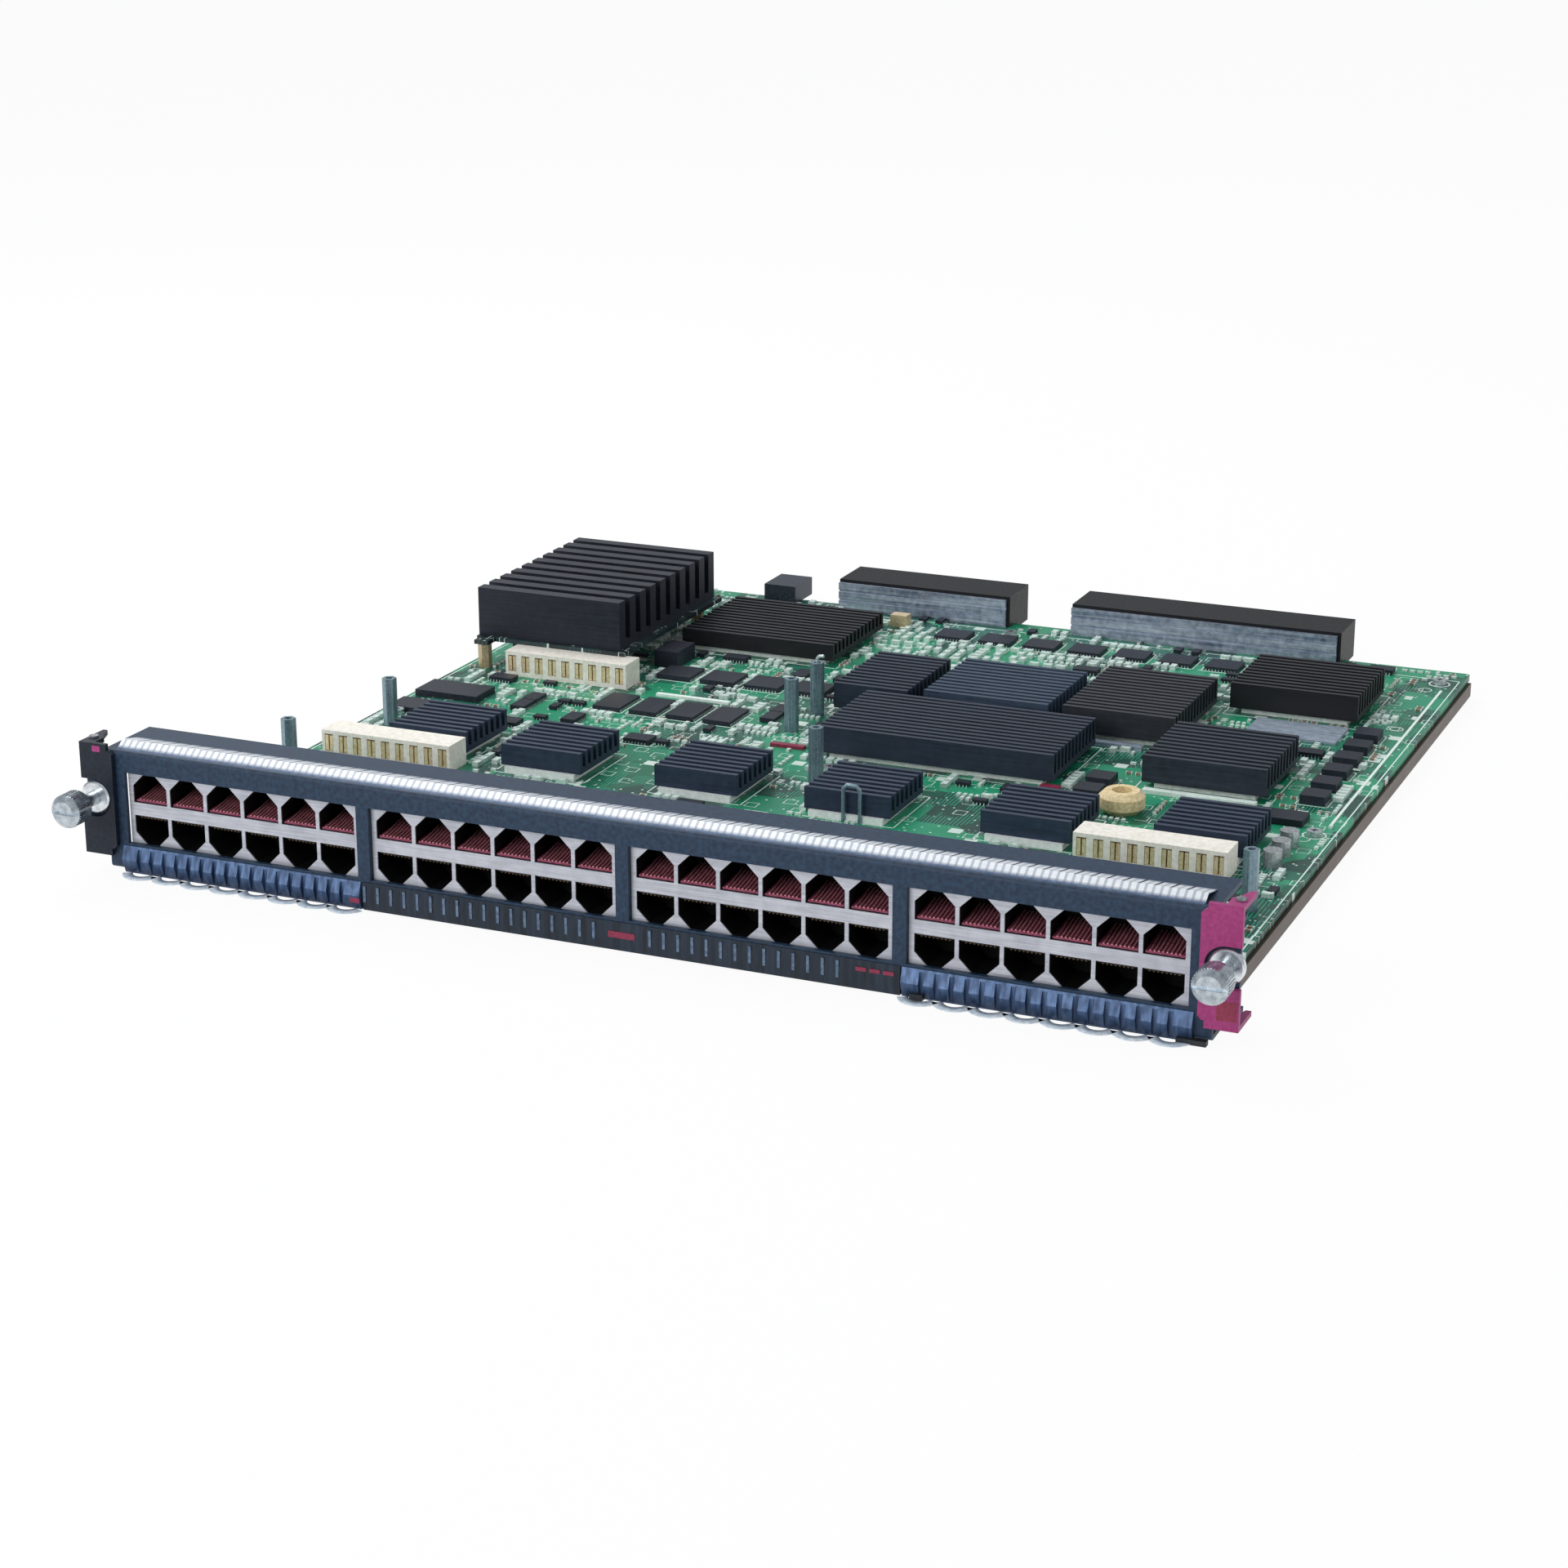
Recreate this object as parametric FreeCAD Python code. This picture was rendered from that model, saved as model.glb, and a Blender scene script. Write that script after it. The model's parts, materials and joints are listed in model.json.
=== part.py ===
import FreeCAD, Part
import math
import os
from FreeCAD import Vector

# Line card for a modular network switch: a sheet-metal carrier with a circuit board,
# four gangs of twelve jacks behind a slotted faceplate, ejector levers and captive
# screws at the ends, and backplane connectors at the rear.
# Millimetres. X runs along the faceplate, Y runs into the chassis and Z is up.
# The origin is on the card's underside, in the faceplate's front plane, at mid-width.

# Jack field
PORT_PITCH = 13.97        # jack to jack
PORTS_PER_ROW = 6         # jacks in one row of a gang
GANGS = 4
GANG_GAP = 6.9            # extra spacing where two gangs meet
SHIELD_SIDE = 1.04        # shield beyond the last jack's half pitch
SHIELD_SHEET = 0.4
SHIELD_DEPTH = 26.2
SHIELD_HEIGHT = 27.0
PORT_WIDTH = 12.7         # opening of one jack
PORT_HEIGHT = 5.8         # straight part of the opening
LATCH_WIDTH = 4.4         # latch end of the opening
LATCH_HEIGHT = 4.1        # height over which the opening narrows
ROW_BAND = 4.3            # metal between the two rows
ROW_DROP = 0.45           # middle of the rows below the window's middle
PORT_DEPTH = 13.4
PORT_DRAFT = 0.15         # how far the plastic stands inside the shield's opening
CONTACT_WIDTH = 11.9
CONTACT_SETBACK = 0.6     # contacts behind the shield's front
CONTACT_TOE = 0.6         # contact carrier's height at its front
CONTACT_HEEL = 1.7        # and at its rear

# Faceplate
FACE_SHEET = 1.5
FACE_TOP = 41.9
FACE_MARGIN = 7.4         # faceplate beyond the jack field
TOP_FLANGE = 26.0
BOTTOM_FLANGE = 10.0
WINDOW_SIDE_GAP = 0.2     # window beyond the shield's side
WINDOW_LOW = 10.4
WINDOW_HIGH = 34.6
FACE_GAP = 0.3            # behind the sheet, before the jacks
EAR_WIDTH = 7.4
EAR_LOW = 8.4
EAR_TOP_DROP = 0.9        # ear's top edge below the faceplate's

# Spring-finger gaskets
FINGER_PITCH = 4.76
FINGER_SLOT = 0.8         # of the top strip
LOW_FINGER_SLOT = 1.7     # of the bottom strip, whose fingers are narrower
GASKET_SHEET = 0.35
TOP_GASKET_INSET = 4.0    # strip's end inside the faceplate's end
TOP_GASKET_DEPTH = 12.4
TOP_GASKET_RISE = 2.4
TOP_GASKET_CREST = 3.4    # crest behind the strip's front edge, where the slots start
LOW_GASKET_GAP = 1.5      # strip's end inside the lever's edge
LOW_GASKET_TOP = 9.6
LOW_GASKET_BOTTOM = 0.35
LOW_GASKET_KNEE = 5.2     # height of the fingers' foremost line
LOW_GASKET_BULGE = 2.0
LOW_MIDDLE_BULGE = 0.8    # the middle strip stands out less
LOW_END_LENGTH = 89.0     # of each of the two end strips
LOW_STRIP_GAP = 0.6

# Carrier tray and main board
TRAY_SHEET = 1.2
TRAY_SIDE = 1.2           # tray's flange outside the board's edge
TRAY_FRONT = 1.8
TRAY_REAR = 371.0
TRAY_FLANGE = 6.1
BOARD_INSET = 4.83        # board's edge inside the faceplate's end
BOARD_CORNER = 1.0
BOARD_FRONT = 4.6
BOARD_REAR = 374.0
BOARD_BOTTOM = 6.3
BOARD_THICKNESS = 2.4
STANDOFF_FLATS = 5.5
STANDOFF_SIDE = 8.0       # outer spacers inside the board's side edges
STANDOFF_FRONT = 60.0     # first row behind the board's front edge
STANDOFF_MIDDLE = 160.7
STANDOFF_REAR = 18.0      # last row in front of the board's rear edge
STANDOFF_FLOOR = 1.0      # closed end of the spacer's hole
SCREW_RADIUS = 1.4
SCREW_END_GAP = 0.4       # screw's end above the floor of its hole
SCREW_SIDES = 6           # small screws have few-sided shanks and holes
HEAD_SIDES = 8
SCREW_HEAD_RADIUS = 2.7
SCREW_HEAD_HEIGHT = 1.9
BOARD_HOLE_CLEARANCE = 0.25
FACE_SCREW_HEAD_RADIUS = 2.5
FACE_SCREW_LENGTH = 3.6
FACE_SCREWS = 6
FACE_SCREW_PITCH = 65.3

# Levers and captive screws
LEVER_SHEET = 1.6
LEVER_GAP = 0.5           # lever's back to the faceplate
LEVER_LOW = 6.0
LEVER_HIGH = 44.0
LEVER_STEP = 10.2         # width of the lever's full-height outer part
LEVER_INNER_LOW = 8.4
LEVER_OVERLAP = 4.0       # lever over the faceplate's end
LEVER_OUTSIDE = 0.8       # lever beyond the ear
LEVER_CORNER = 1.2
PIVOT_INSET = 1.5         # pivot inside the ear's edge
PIVOT_Y = 3.2
PIN_RADIUS = 0.9
PIN_CLEARANCE = 0.05
PIN_HEAD_RADIUS = 1.6
PIN_HEAD_HEIGHT = 0.7
PIN_END_GAP = 0.1
CLAW_REACH = 8.6          # claw behind the pivot
CLAW_TIP = 1.6
FLANGE_SIDE = 2.9         # lever's flange beyond the pivot
FLANGE_CORNER = 1.5
TAB_SHEET = 1.5
TAB_STEP = 1.5            # tab inside the ear's edge
TAB_MARGIN = 1.3          # tab beyond the pin
CAPTIVE_FROM_END = 3.7    # screw axis inside the ear's edge
CAPTIVE_Z = 25.2
COLLAR_RADIUS = 5.5
COLLAR_NOTCH_GAP = 0.9    # lever's notch outside the collar
COLLAR_CHAMFER = 0.6
COLLAR_FRONT = 2.0
COLLAR_BARREL_RADIUS = 3.1
COLLAR_REAR = 2.2
THUMB_RADIUS = 5.4
THUMB_LENGTH = 10.0
KNOB_CHAMFER = 1.6
SLOT_WIDTH = 1.2          # screwdriver slot across the knob
SLOT_DEPTH = 1.6
THUMB_STANDOFF = 9.5      # knob's back in front of the faceplate, screw backed out
NECK_RADIUS = 2.3
NECK_CLEARANCE = 0.06
THREAD_RADIUS = 2.0
THREAD_END = 10.5
THREAD_CHAMFER = 0.8
CLIP_GAP = 0.3
CLIP_THICKNESS = 0.9
CLIP_RADIUS = 3.6
CLIP_CLEARANCE = 0.05
GROOVE_RADIUS = 1.6

# Board parts
CHIP_HEIGHT = 2.2
PORT_CHIP_INSET = 2.0     # chip inside its sink's sides and rear
PORT_CHIP_LEAD = 1.5      # chip in front of its sink
CORE_CHIP_INSET = 4.0
CORE_CHIP_SETBACK = 2.0
PORT_SINK_SIZE = 31.0
PORT_SINK_HEIGHT = 7.6
CORE_SINK_HEIGHT = 9.6
SINK_BASE = 2.0
FIN_PITCH = 3.8
FIN_THICKNESS = 1.9
SOCKET_LENGTH = 51.5
SOCKET_DEPTH = 12.0
SOCKET_HEIGHT = 9.7
SOCKET_SLOTS = 9
SOCKET_SLOT_WIDTH = 3.4
SOCKET_SLOT_DEPTH = 6.5
SOCKET_LID = 1.4
SOCKET_BACK = 3.0
POST_HEIGHT = 20.0
POST_FLATS = 4.6
POST_HOLE_RADIUS = 1.25
POST_HOLE_DEPTH = 6.0
MODULE_BOARD = 1.6
MODULE_BOARD_FRONT = 2.0  # board in front of the sink
MODULE_BOARD_SIDE = 3.0   # and beyond its right side
MODULE_EAR = 6.0          # ear that reaches the front post
MODULE_EAR_INSET = 2.0
MODULE_POST_INSET = 5.0
MODULE_SOCKET_SHIFT = 13.0  # its socket right of the module's middle
MODULE_SINK_HEIGHT = 18.9
MODULE_SINK_WIDTH = 61.0
MODULE_SINK_DEPTH = 87.0
MODULE_BASE = 3.0
MODULE_FIN_PITCH = 8.6
MODULE_FIN_THICKNESS = 5.2
MAGNETICS_WIDTH = 11.4    # transformer package behind each pair of jacks
MAGNETICS_DEPTH = 9.0
MAGNETICS_HEIGHT = 5.6
MAGNETICS_GAP = 4.0

# Backplane end
CONNECTOR_SEAT = 8.0      # depth of the wafer stack on the board
CONNECTOR_OVERHANG = 2.0  # and past the board's rear edge, up to the housing
CONNECTOR_DEPTH = 14.0    # depth of the housing
CONNECTOR_HEIGHT = 12.6
CONNECTOR_COVER = 1.3
CONNECTOR_CHEEK = 1.5
CONNECTOR_WALL = 2.0
COVER_SETBACK = 1.5       # cover behind the wafers' front
CONTACT_PITCH = 5.4
WAFER_BARS = 3            # stiffener bars along the wafers' front
WAFER_GROOVE = 0.9
WAFER_GROOVE_DEPTH = 0.8
CONTACT_SLOT = 2.8
CONTACT_SLOT_DEPTH = 6.0
GUIDE_WIDTH = 14.0
GUIDE_HEIGHT = 7.4
GUIDE_OVERHANG = 10.0
GUIDE_BORE = 2.3
GUIDE_BORE_DEPTH = 10.0
GUIDE_FLARE = 1.0

# Places on the board
PORT_SINKS = (
    (-139.0, 127.0),
    (-90.5, 120.5),
    (-31.0, 120.5),
    (25.5, 119.0),
    (88.5, 119.0),
    (145.0, 128.0),
)
SOCKET_Y = 110.5
LEFT_SOCKET_INSET = 34.8    # socket's middle inside the board's side edge
RIGHT_SOCKET_INSET = 48.1
CORE_SINKS = (
    (-10.0, 78.0, 178.0, 226.0),
    (-25.0, 4.0, 230.0, 276.0),
    (9.0, 57.0, 234.0, 280.0),
    (62.0, 104.0, 236.0, 292.0),
    (110.0, 158.0, 288.0, 330.0),
    (106.0, 150.0, 191.0, 234.0),
)
REAR_SINK = (-113.0, -48.5, 286.0, 339.0)
REAR_SINK_HEIGHT = 6.5
EDGE_POSTS = (              # side, distance inside the board's edge, Y
    (-1, 9.1, 89.0),
    (1, 9.1, 89.0),
    (-1, 16.6, 146.0),
)
INNER_POSTS = (
    (-30.5, 203.0),
    (-30.0, 226.0),
    (0.5, 152.0),
)
PACKAGE_SPACE = 4.0
PACKAGE_ROWS = (            # first and last middle, then width, depth and height
    ((-104.0, 208.0), (-59.0, 208.0), (11.0, 18.0, 1.6)),
    ((-98.0, 252.0), (-43.0, 252.0), (14.0, 14.0, 1.8)),
    ((-130.0, 170.0), (-76.0, 170.0), (10.0, 7.0, 1.8)),
    ((-20.0, 345.0), (92.0, 345.0), (13.0, 12.0, 1.6)),
    ((165.0, 200.0), (165.0, 276.0), (9.0, 9.0, 3.2)),
    ((92.0, 176.0), (92.0, 190.0), (9.0, 9.0, 3.2)),
)
INDUCTOR_PLACE = (107.5, 164.0)
INDUCTOR_RADIUS = 8.0
INDUCTOR_HOLE = 3.6
INDUCTOR_HEIGHT = 7.6
INDUCTOR_EDGE = 2.0
INDUCTOR_SIDES = 18
CAPACITORS = 3
CAPACITOR_RADIUS = 3.2
CAPACITOR_HEIGHT = 5.5
CAPACITOR_SIDES = 16
CAPACITOR_INSET = 13.0      # cans' middle inside the board's right edge
CAPACITOR_Y = 131.0
CAPACITOR_PITCH = 10.5
MODULE_LEFT = 3.6           # module inside the board's left edge
MODULE_FRONT = 238.0
LEFT_CONNECTOR = (-79.0, -4.5)
RIGHT_CONNECTOR = (22.0, 132.0)
GUIDE_CENTRE = -105.5

# Worked out from the sizes above
BOARD_TOP = BOARD_BOTTOM + BOARD_THICKNESS
GANG_PITCH = PORTS_PER_ROW * PORT_PITCH + GANG_GAP
SHIELD_WIDTH = PORTS_PER_ROW * PORT_PITCH + 2 * SHIELD_SIDE
FIELD_HALF = (GANGS - 1) / 2 * GANG_PITCH + SHIELD_WIDTH / 2
FACE_HALF = FIELD_HALF + FACE_MARGIN
BOARD_HALF_WIDTH = FACE_HALF - BOARD_INSET
TRAY_HALF_WIDTH = BOARD_HALF_WIDTH + TRAY_SIDE
EAR_END = FACE_HALF + EAR_WIDTH
FACE_BOTTOM = TRAY_SHEET
SHIELD_FRONT = FACE_SHEET + FACE_GAP
ROW_MIDDLE = (WINDOW_HIGH + WINDOW_LOW) / 2 - ROW_DROP
CAPTIVE_X = EAR_END - CAPTIVE_FROM_END
PIVOT_X = EAR_END - PIVOT_INSET
COLLAR_NOTCH = COLLAR_RADIUS + COLLAR_NOTCH_GAP
SINK_BOTTOM = BOARD_TOP + CHIP_HEIGHT
SHIELD_REAR = SHIELD_FRONT + SHIELD_DEPTH
MODULE_MIDDLE = MODULE_LEFT - BOARD_HALF_WIDTH + MODULE_SINK_WIDTH / 2
SOCKET_PLACES = {
    "left": (LEFT_SOCKET_INSET - BOARD_HALF_WIDTH, SOCKET_Y),
    "middle": (MODULE_MIDDLE + MODULE_SOCKET_SHIFT, MODULE_FRONT - SOCKET_DEPTH),
    "right": (BOARD_HALF_WIDTH - RIGHT_SOCKET_INSET, SOCKET_Y),
}
TALL_POSTS = [(side * (BOARD_HALF_WIDTH - inset), y) for side, inset, y in EDGE_POSTS]
TALL_POSTS += INNER_POSTS
WAFER_FRONT = BOARD_REAR - CONNECTOR_SEAT
WAFER_REAR = BOARD_REAR + CONNECTOR_OVERHANG
CONNECTOR_REAR = WAFER_REAR + CONNECTOR_DEPTH


def box(x0, x1, y0, y1, z0, z1):
    return Part.makeBox(x1 - x0, y1 - y0, z1 - z0, Vector(x0, y0, z0))


def rod(x, y, z, direction, radius, length):
    return Part.makeCylinder(radius, length, Vector(x, y, z), direction)


def prism(points, run):
    """Extrude a closed outline of 3-D points along the vector run."""
    wire = Part.makePolygon([Vector(*p) for p in points + points[:1]])
    return Part.Face(wire).extrude(Vector(*run))


def corner_points(x, y, z, radius, sides):
    """Corners of an upright regular outline."""
    angles = [2 * math.pi * (k + 0.5) / sides for k in range(sides)]
    return [(x + radius * math.cos(a), y + radius * math.sin(a), z) for a in angles]


def sided_rod(x, y, z, radius, length, sides):
    """Upright rod with flat sides."""
    return prism(corner_points(x, y, z, radius, sides), (0, 0, length))


def hex_rod(x, y, z, flats, length):
    """Upright hexagonal bar, sized across its flats."""
    return sided_rod(x, y, z, flats / math.sqrt(3), length, 6)


def group(solids):
    return Part.makeCompound(solids)


def mirrored(shape):
    return shape.mirror(Vector(0, 0, 0), Vector(1, 0, 0))


def edges_along(shape, axis, test):
    """Edges that run straight along one axis and whose middle passes the test."""
    found = []
    for edge in shape.Edges:
        if not isinstance(edge.Curve, Part.Line):
            continue
        a, b = (v.Point for v in edge.Vertexes)
        if abs((b - a).normalize().dot(axis)) > 0.999 and test((a + b) * 0.5):
            found.append(edge)
    return found


def gang_centre(index):
    return (index - (GANGS - 1) / 2) * GANG_PITCH


def port_centres(index):
    first = gang_centre(index) - (PORTS_PER_ROW - 1) / 2 * PORT_PITCH
    return [first + k * PORT_PITCH for k in range(PORTS_PER_ROW)]


def port_outline(x, up, y, shrink):
    """A jack opening: a rectangle that narrows to the latch way, away from the band."""
    w = PORT_WIDTH / 2 - shrink
    n = LATCH_WIDTH / 2 - shrink
    heights = [
        ROW_BAND / 2 + shrink,
        ROW_BAND / 2 + PORT_HEIGHT,
        ROW_BAND / 2 + PORT_HEIGHT + LATCH_HEIGHT - shrink,
    ]
    z = [ROW_MIDDLE + up * h for h in heights]
    return [
        (x - w, y, z[0]),
        (x + w, y, z[0]),
        (x + w, y, z[1]),
        (x + n, y, z[2]),
        (x - n, y, z[2]),
        (x - w, y, z[1]),
    ]


def port_cuts(index, y, depth, shrink):
    cuts = []
    for x in port_centres(index):
        for up in (1, -1):
            cuts.append(prism(port_outline(x, up, y, shrink), (0, depth, 0)))
    return cuts


def port_shield(index):
    """Folded metal can: a pierced front, two sides, a top and a back."""
    x = gang_centre(index)
    half = SHIELD_WIDTH / 2
    top = BOARD_TOP + SHIELD_HEIGHT
    can = box(x - half, x + half, SHIELD_FRONT, SHIELD_REAR, BOARD_TOP, top)
    inside = box(
        x - half + SHIELD_SHEET,
        x + half - SHIELD_SHEET,
        SHIELD_FRONT + SHIELD_SHEET,
        SHIELD_REAR - SHIELD_SHEET,
        BOARD_TOP - 1,
        top - SHIELD_SHEET,
    )
    can = can.cut(inside)
    return can.cut(port_cuts(index, SHIELD_FRONT - 1, SHIELD_SHEET + 2, 0))


def port_housing(index):
    """Moulded block that fills the shield, with a stepped cavity for each jack."""
    x = gang_centre(index)
    half = SHIELD_WIDTH / 2 - SHIELD_SHEET
    front = SHIELD_FRONT + SHIELD_SHEET
    rear = SHIELD_REAR - SHIELD_SHEET
    top = BOARD_TOP + SHIELD_HEIGHT - SHIELD_SHEET
    block = box(x - half, x + half, front, rear, BOARD_TOP, top)
    return block.cut(port_cuts(index, front - 1, PORT_DEPTH + 1, PORT_DRAFT))


def port_contacts(index):
    """One wedge-shaped contact carrier on the band side of each cavity."""
    front = SHIELD_FRONT + SHIELD_SHEET + CONTACT_SETBACK
    rear = SHIELD_FRONT + SHIELD_SHEET + PORT_DEPTH
    seat = ROW_BAND / 2 + PORT_DRAFT
    carriers = []
    for x in port_centres(index):
        for up in (1, -1):
            floor = ROW_MIDDLE + up * seat
            outline = [
                (x - CONTACT_WIDTH / 2, front, floor),
                (x - CONTACT_WIDTH / 2, rear, floor),
                (x - CONTACT_WIDTH / 2, rear, floor + up * CONTACT_HEEL),
                (x - CONTACT_WIDTH / 2, front, floor + up * CONTACT_TOE),
            ]
            carriers.append(prism(outline, (CONTACT_WIDTH, 0, 0)))
    return group(carriers)


def ear(side):
    """Faceplate end that holds the captive screw, with two folded tabs for the pivots."""
    inner = FACE_HALF - 1
    high = FACE_TOP - EAR_TOP_DROP
    plate = box(inner, EAR_END, 0, FACE_SHEET, EAR_LOW, high)
    corners = edges_along(plate, Vector(0, 1, 0), lambda m: m.x > EAR_END - 0.1)
    plate = plate.makeChamfer(LEVER_CORNER, corners)
    tab_inner = PIVOT_X - PIN_RADIUS - TAB_MARGIN
    tab_rear = PIVOT_Y + PIN_RADIUS + TAB_MARGIN
    hole_radius = PIN_RADIUS / math.cos(math.pi / HEAD_SIDES)
    for z in (EAR_LOW + TAB_STEP, high - TAB_STEP - TAB_SHEET):
        tab = box(tab_inner, EAR_END, 0, tab_rear, z, z + TAB_SHEET)
        hole = sided_rod(PIVOT_X, PIVOT_Y, z - 1, hole_radius, TAB_SHEET + 2, HEAD_SIDES)
        plate = plate.fuse(tab).cut(hole)
    hole = rod(CAPTIVE_X, -1, CAPTIVE_Z, Vector(0, 1, 0), COLLAR_BARREL_RADIUS, FACE_SHEET + 2)
    plate = plate.cut(hole)
    return plate if side > 0 else mirrored(plate)


def face_screw_places():
    y = TRAY_FRONT + BOTTOM_FLANGE / 2
    first = (1 - FACE_SCREWS) / 2 * FACE_SCREW_PITCH
    return [(first + k * FACE_SCREW_PITCH, y) for k in range(FACE_SCREWS)]


def faceplate():
    """Folded bezel: front, top flange and bottom flange, four windows and two ears."""
    body = box(-FACE_HALF, FACE_HALF, 0, TOP_FLANGE, FACE_BOTTOM, FACE_TOP)
    bends = edges_along(body, Vector(1, 0, 0), lambda m: m.y < 0.1)
    body = body.makeFillet(FACE_SHEET, bends)
    inner_low = FACE_BOTTOM + FACE_SHEET
    inner_high = FACE_TOP - FACE_SHEET
    hollow = box(-FACE_HALF - 1, FACE_HALF + 1, FACE_SHEET, TOP_FLANGE + 1, inner_low, inner_high)
    lip = box(-FACE_HALF - 1, FACE_HALF + 1, BOTTOM_FLANGE, TOP_FLANGE + 1, 0, inner_low + 0.1)
    body = body.cut([hollow, lip])
    for index in range(GANGS):
        half = SHIELD_WIDTH / 2 + WINDOW_SIDE_GAP
        x = gang_centre(index)
        window = box(x - half, x + half, -1, FACE_SHEET + 1, WINDOW_LOW, WINDOW_HIGH)
        body = body.cut(window)
    for x, y in face_screw_places():
        body = body.cut(sided_rod(x, y, 0, SCREW_RADIUS, inner_low + 1, SCREW_SIDES))
    return body.fuse([ear(1), ear(-1)]).removeSplitter()


def strip(x0, x1, outline):
    """A bent strip from x0 to x1 with its outline in Y and Z."""
    return prism([(x0, y, z) for y, z in outline], (x1 - x0, 0, 0))


def fingers(body, width, slot_y, slot_z):
    """Slot a strip into spring fingers, with slots of that width."""
    x0 = body.BoundBox.XMin
    x1 = body.BoundBox.XMax
    count = int((x1 - x0) // FINGER_PITCH)
    slots = []
    for k in range(1, count):
        x = (x0 + x1) / 2 + (k - count / 2) * FINGER_PITCH
        slots.append(box(x - width / 2, x + width / 2, *slot_y, *slot_z))
    return body.cut(slots)


def top_gasket():
    """Spring fingers on the top flange, held at the front edge and free at the rear."""
    y = FACE_SHEET
    z = FACE_TOP
    t = GASKET_SHEET
    rear = y + TOP_GASKET_DEPTH
    crest = y + TOP_GASKET_CREST
    high = z + TOP_GASKET_RISE
    outline = [
        (y, z),
        (crest, high),
        (rear, z + t),
        (rear, z),
        (crest, high - t),
        (y + t, z),
    ]
    half = FACE_HALF - TOP_GASKET_INSET
    whole = strip(-half, half, outline)
    return fingers(whole, FINGER_SLOT, (crest, rear + 1), (z - 1, high + 1))


def low_strip(x0, x1, bulge):
    """Strip over the faceplate's lower edge, standing out by the bulge."""
    t = GASKET_SHEET
    low = LOW_GASKET_BOTTOM
    high = LOW_GASKET_TOP
    knee = LOW_GASKET_KNEE
    rear = TRAY_FRONT - 0.2
    outline = [
        (0, high),
        (-t, high),
        (-bulge, knee),
        (-t, low),
        (rear, low),
        (rear, low + t),
        (0, low + t),
    ]
    return strip(x0, x1, outline)


def bottom_gasket():
    """Two end strips of spring fingers, and a flatter plain one between them."""
    half = FACE_HALF - LEVER_OVERLAP - LOW_GASKET_GAP
    inner = half - LOW_END_LENGTH
    middle = inner - LOW_STRIP_GAP
    end = low_strip(inner, half, LOW_GASKET_BULGE)
    margin = 2 * GASKET_SHEET
    slot_z = (LOW_GASKET_BOTTOM + margin, LOW_GASKET_TOP - margin)
    end = fingers(end, LOW_FINGER_SLOT, (-LOW_GASKET_BULGE - 1, -GASKET_SHEET), slot_z)
    return group([mirrored(end), low_strip(-middle, middle, LOW_MIDDLE_BULGE), end])


def standoff_places():
    outer = BOARD_HALF_WIDTH - STANDOFF_SIDE
    rows = [BOARD_FRONT + STANDOFF_FRONT, BOARD_FRONT + STANDOFF_MIDDLE, BOARD_REAR - STANDOFF_REAR]
    return [(x, y) for x in (-outer, 0, outer) for y in rows]


def carrier_tray():
    """Folded pan under the board: a floor, two side flanges and a rear flange."""
    w = TRAY_HALF_WIDTH
    pan = box(-w, w, TRAY_FRONT, TRAY_REAR, 0, TRAY_FLANGE)
    folds = edges_along(pan, Vector(0, 1, 0), lambda m: m.z < 0.1)
    folds += edges_along(pan, Vector(1, 0, 0), lambda m: m.z < 0.1 and m.y > TRAY_REAR - 1)
    pan = pan.makeFillet(TRAY_SHEET, folds)
    t = TRAY_SHEET
    pan = pan.cut(box(-w + t, w - t, TRAY_FRONT - 1, TRAY_REAR - t, t, TRAY_FLANGE + 1))
    for side in (-1, 1):
        x = side * (w - t / 2)
        relief = box(x - t, x + t, TRAY_FRONT - 1, BOTTOM_FLANGE + 1, t, TRAY_FLANGE + 1)
        pan = pan.cut(relief)
    for x, y in face_screw_places():
        pan = pan.cut(countersink(x, y))
    return pan


def countersink(x, y):
    """Taper of a flat screw head, from the tray's underside to its top."""
    low = [Vector(*p) for p in corner_points(x, y, 0, FACE_SCREW_HEAD_RADIUS, HEAD_SIDES)]
    high = [Vector(*p) for p in corner_points(x, y, TRAY_SHEET, SCREW_RADIUS, HEAD_SIDES)]
    outlines = [low, high]
    for k in range(HEAD_SIDES):
        outlines.append([low[k - 1], low[k], high[k], high[k - 1]])
    faces = [Part.Face(Part.makePolygon(points + points[:1])) for points in outlines]
    solid = Part.Solid(Part.makeShell(faces))
    return solid if solid.Volume > 0 else solid.reversed()


def faceplate_screws():
    """Flat-head screws up through the tray into the faceplate's bottom flange."""
    screws = []
    for x, y in face_screw_places():
        shank = sided_rod(x, y, TRAY_SHEET, SCREW_RADIUS, FACE_SCREW_LENGTH - TRAY_SHEET, SCREW_SIDES)
        screws.append(countersink(x, y).fuse(shank).removeSplitter())
    return group(screws)


def tray_standoffs():
    spacers = []
    height = BOARD_BOTTOM - TRAY_SHEET
    for x, y in standoff_places():
        body = hex_rod(x, y, TRAY_SHEET, STANDOFF_FLATS, height)
        hole = sided_rod(x, y, TRAY_SHEET + STANDOFF_FLOOR, SCREW_RADIUS, height, SCREW_SIDES)
        spacers.append(body.cut(hole))
    return group(spacers)


def board_screws():
    screws = []
    for x, y in standoff_places():
        low = TRAY_SHEET + STANDOFF_FLOOR + SCREW_END_GAP
        shank = sided_rod(x, y, low, SCREW_RADIUS, BOARD_TOP - low, SCREW_SIDES)
        head = sided_rod(x, y, BOARD_TOP, SCREW_HEAD_RADIUS, SCREW_HEAD_HEIGHT, HEAD_SIDES)
        screws.append(head.fuse(shank).removeSplitter())
    return group(screws)


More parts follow.
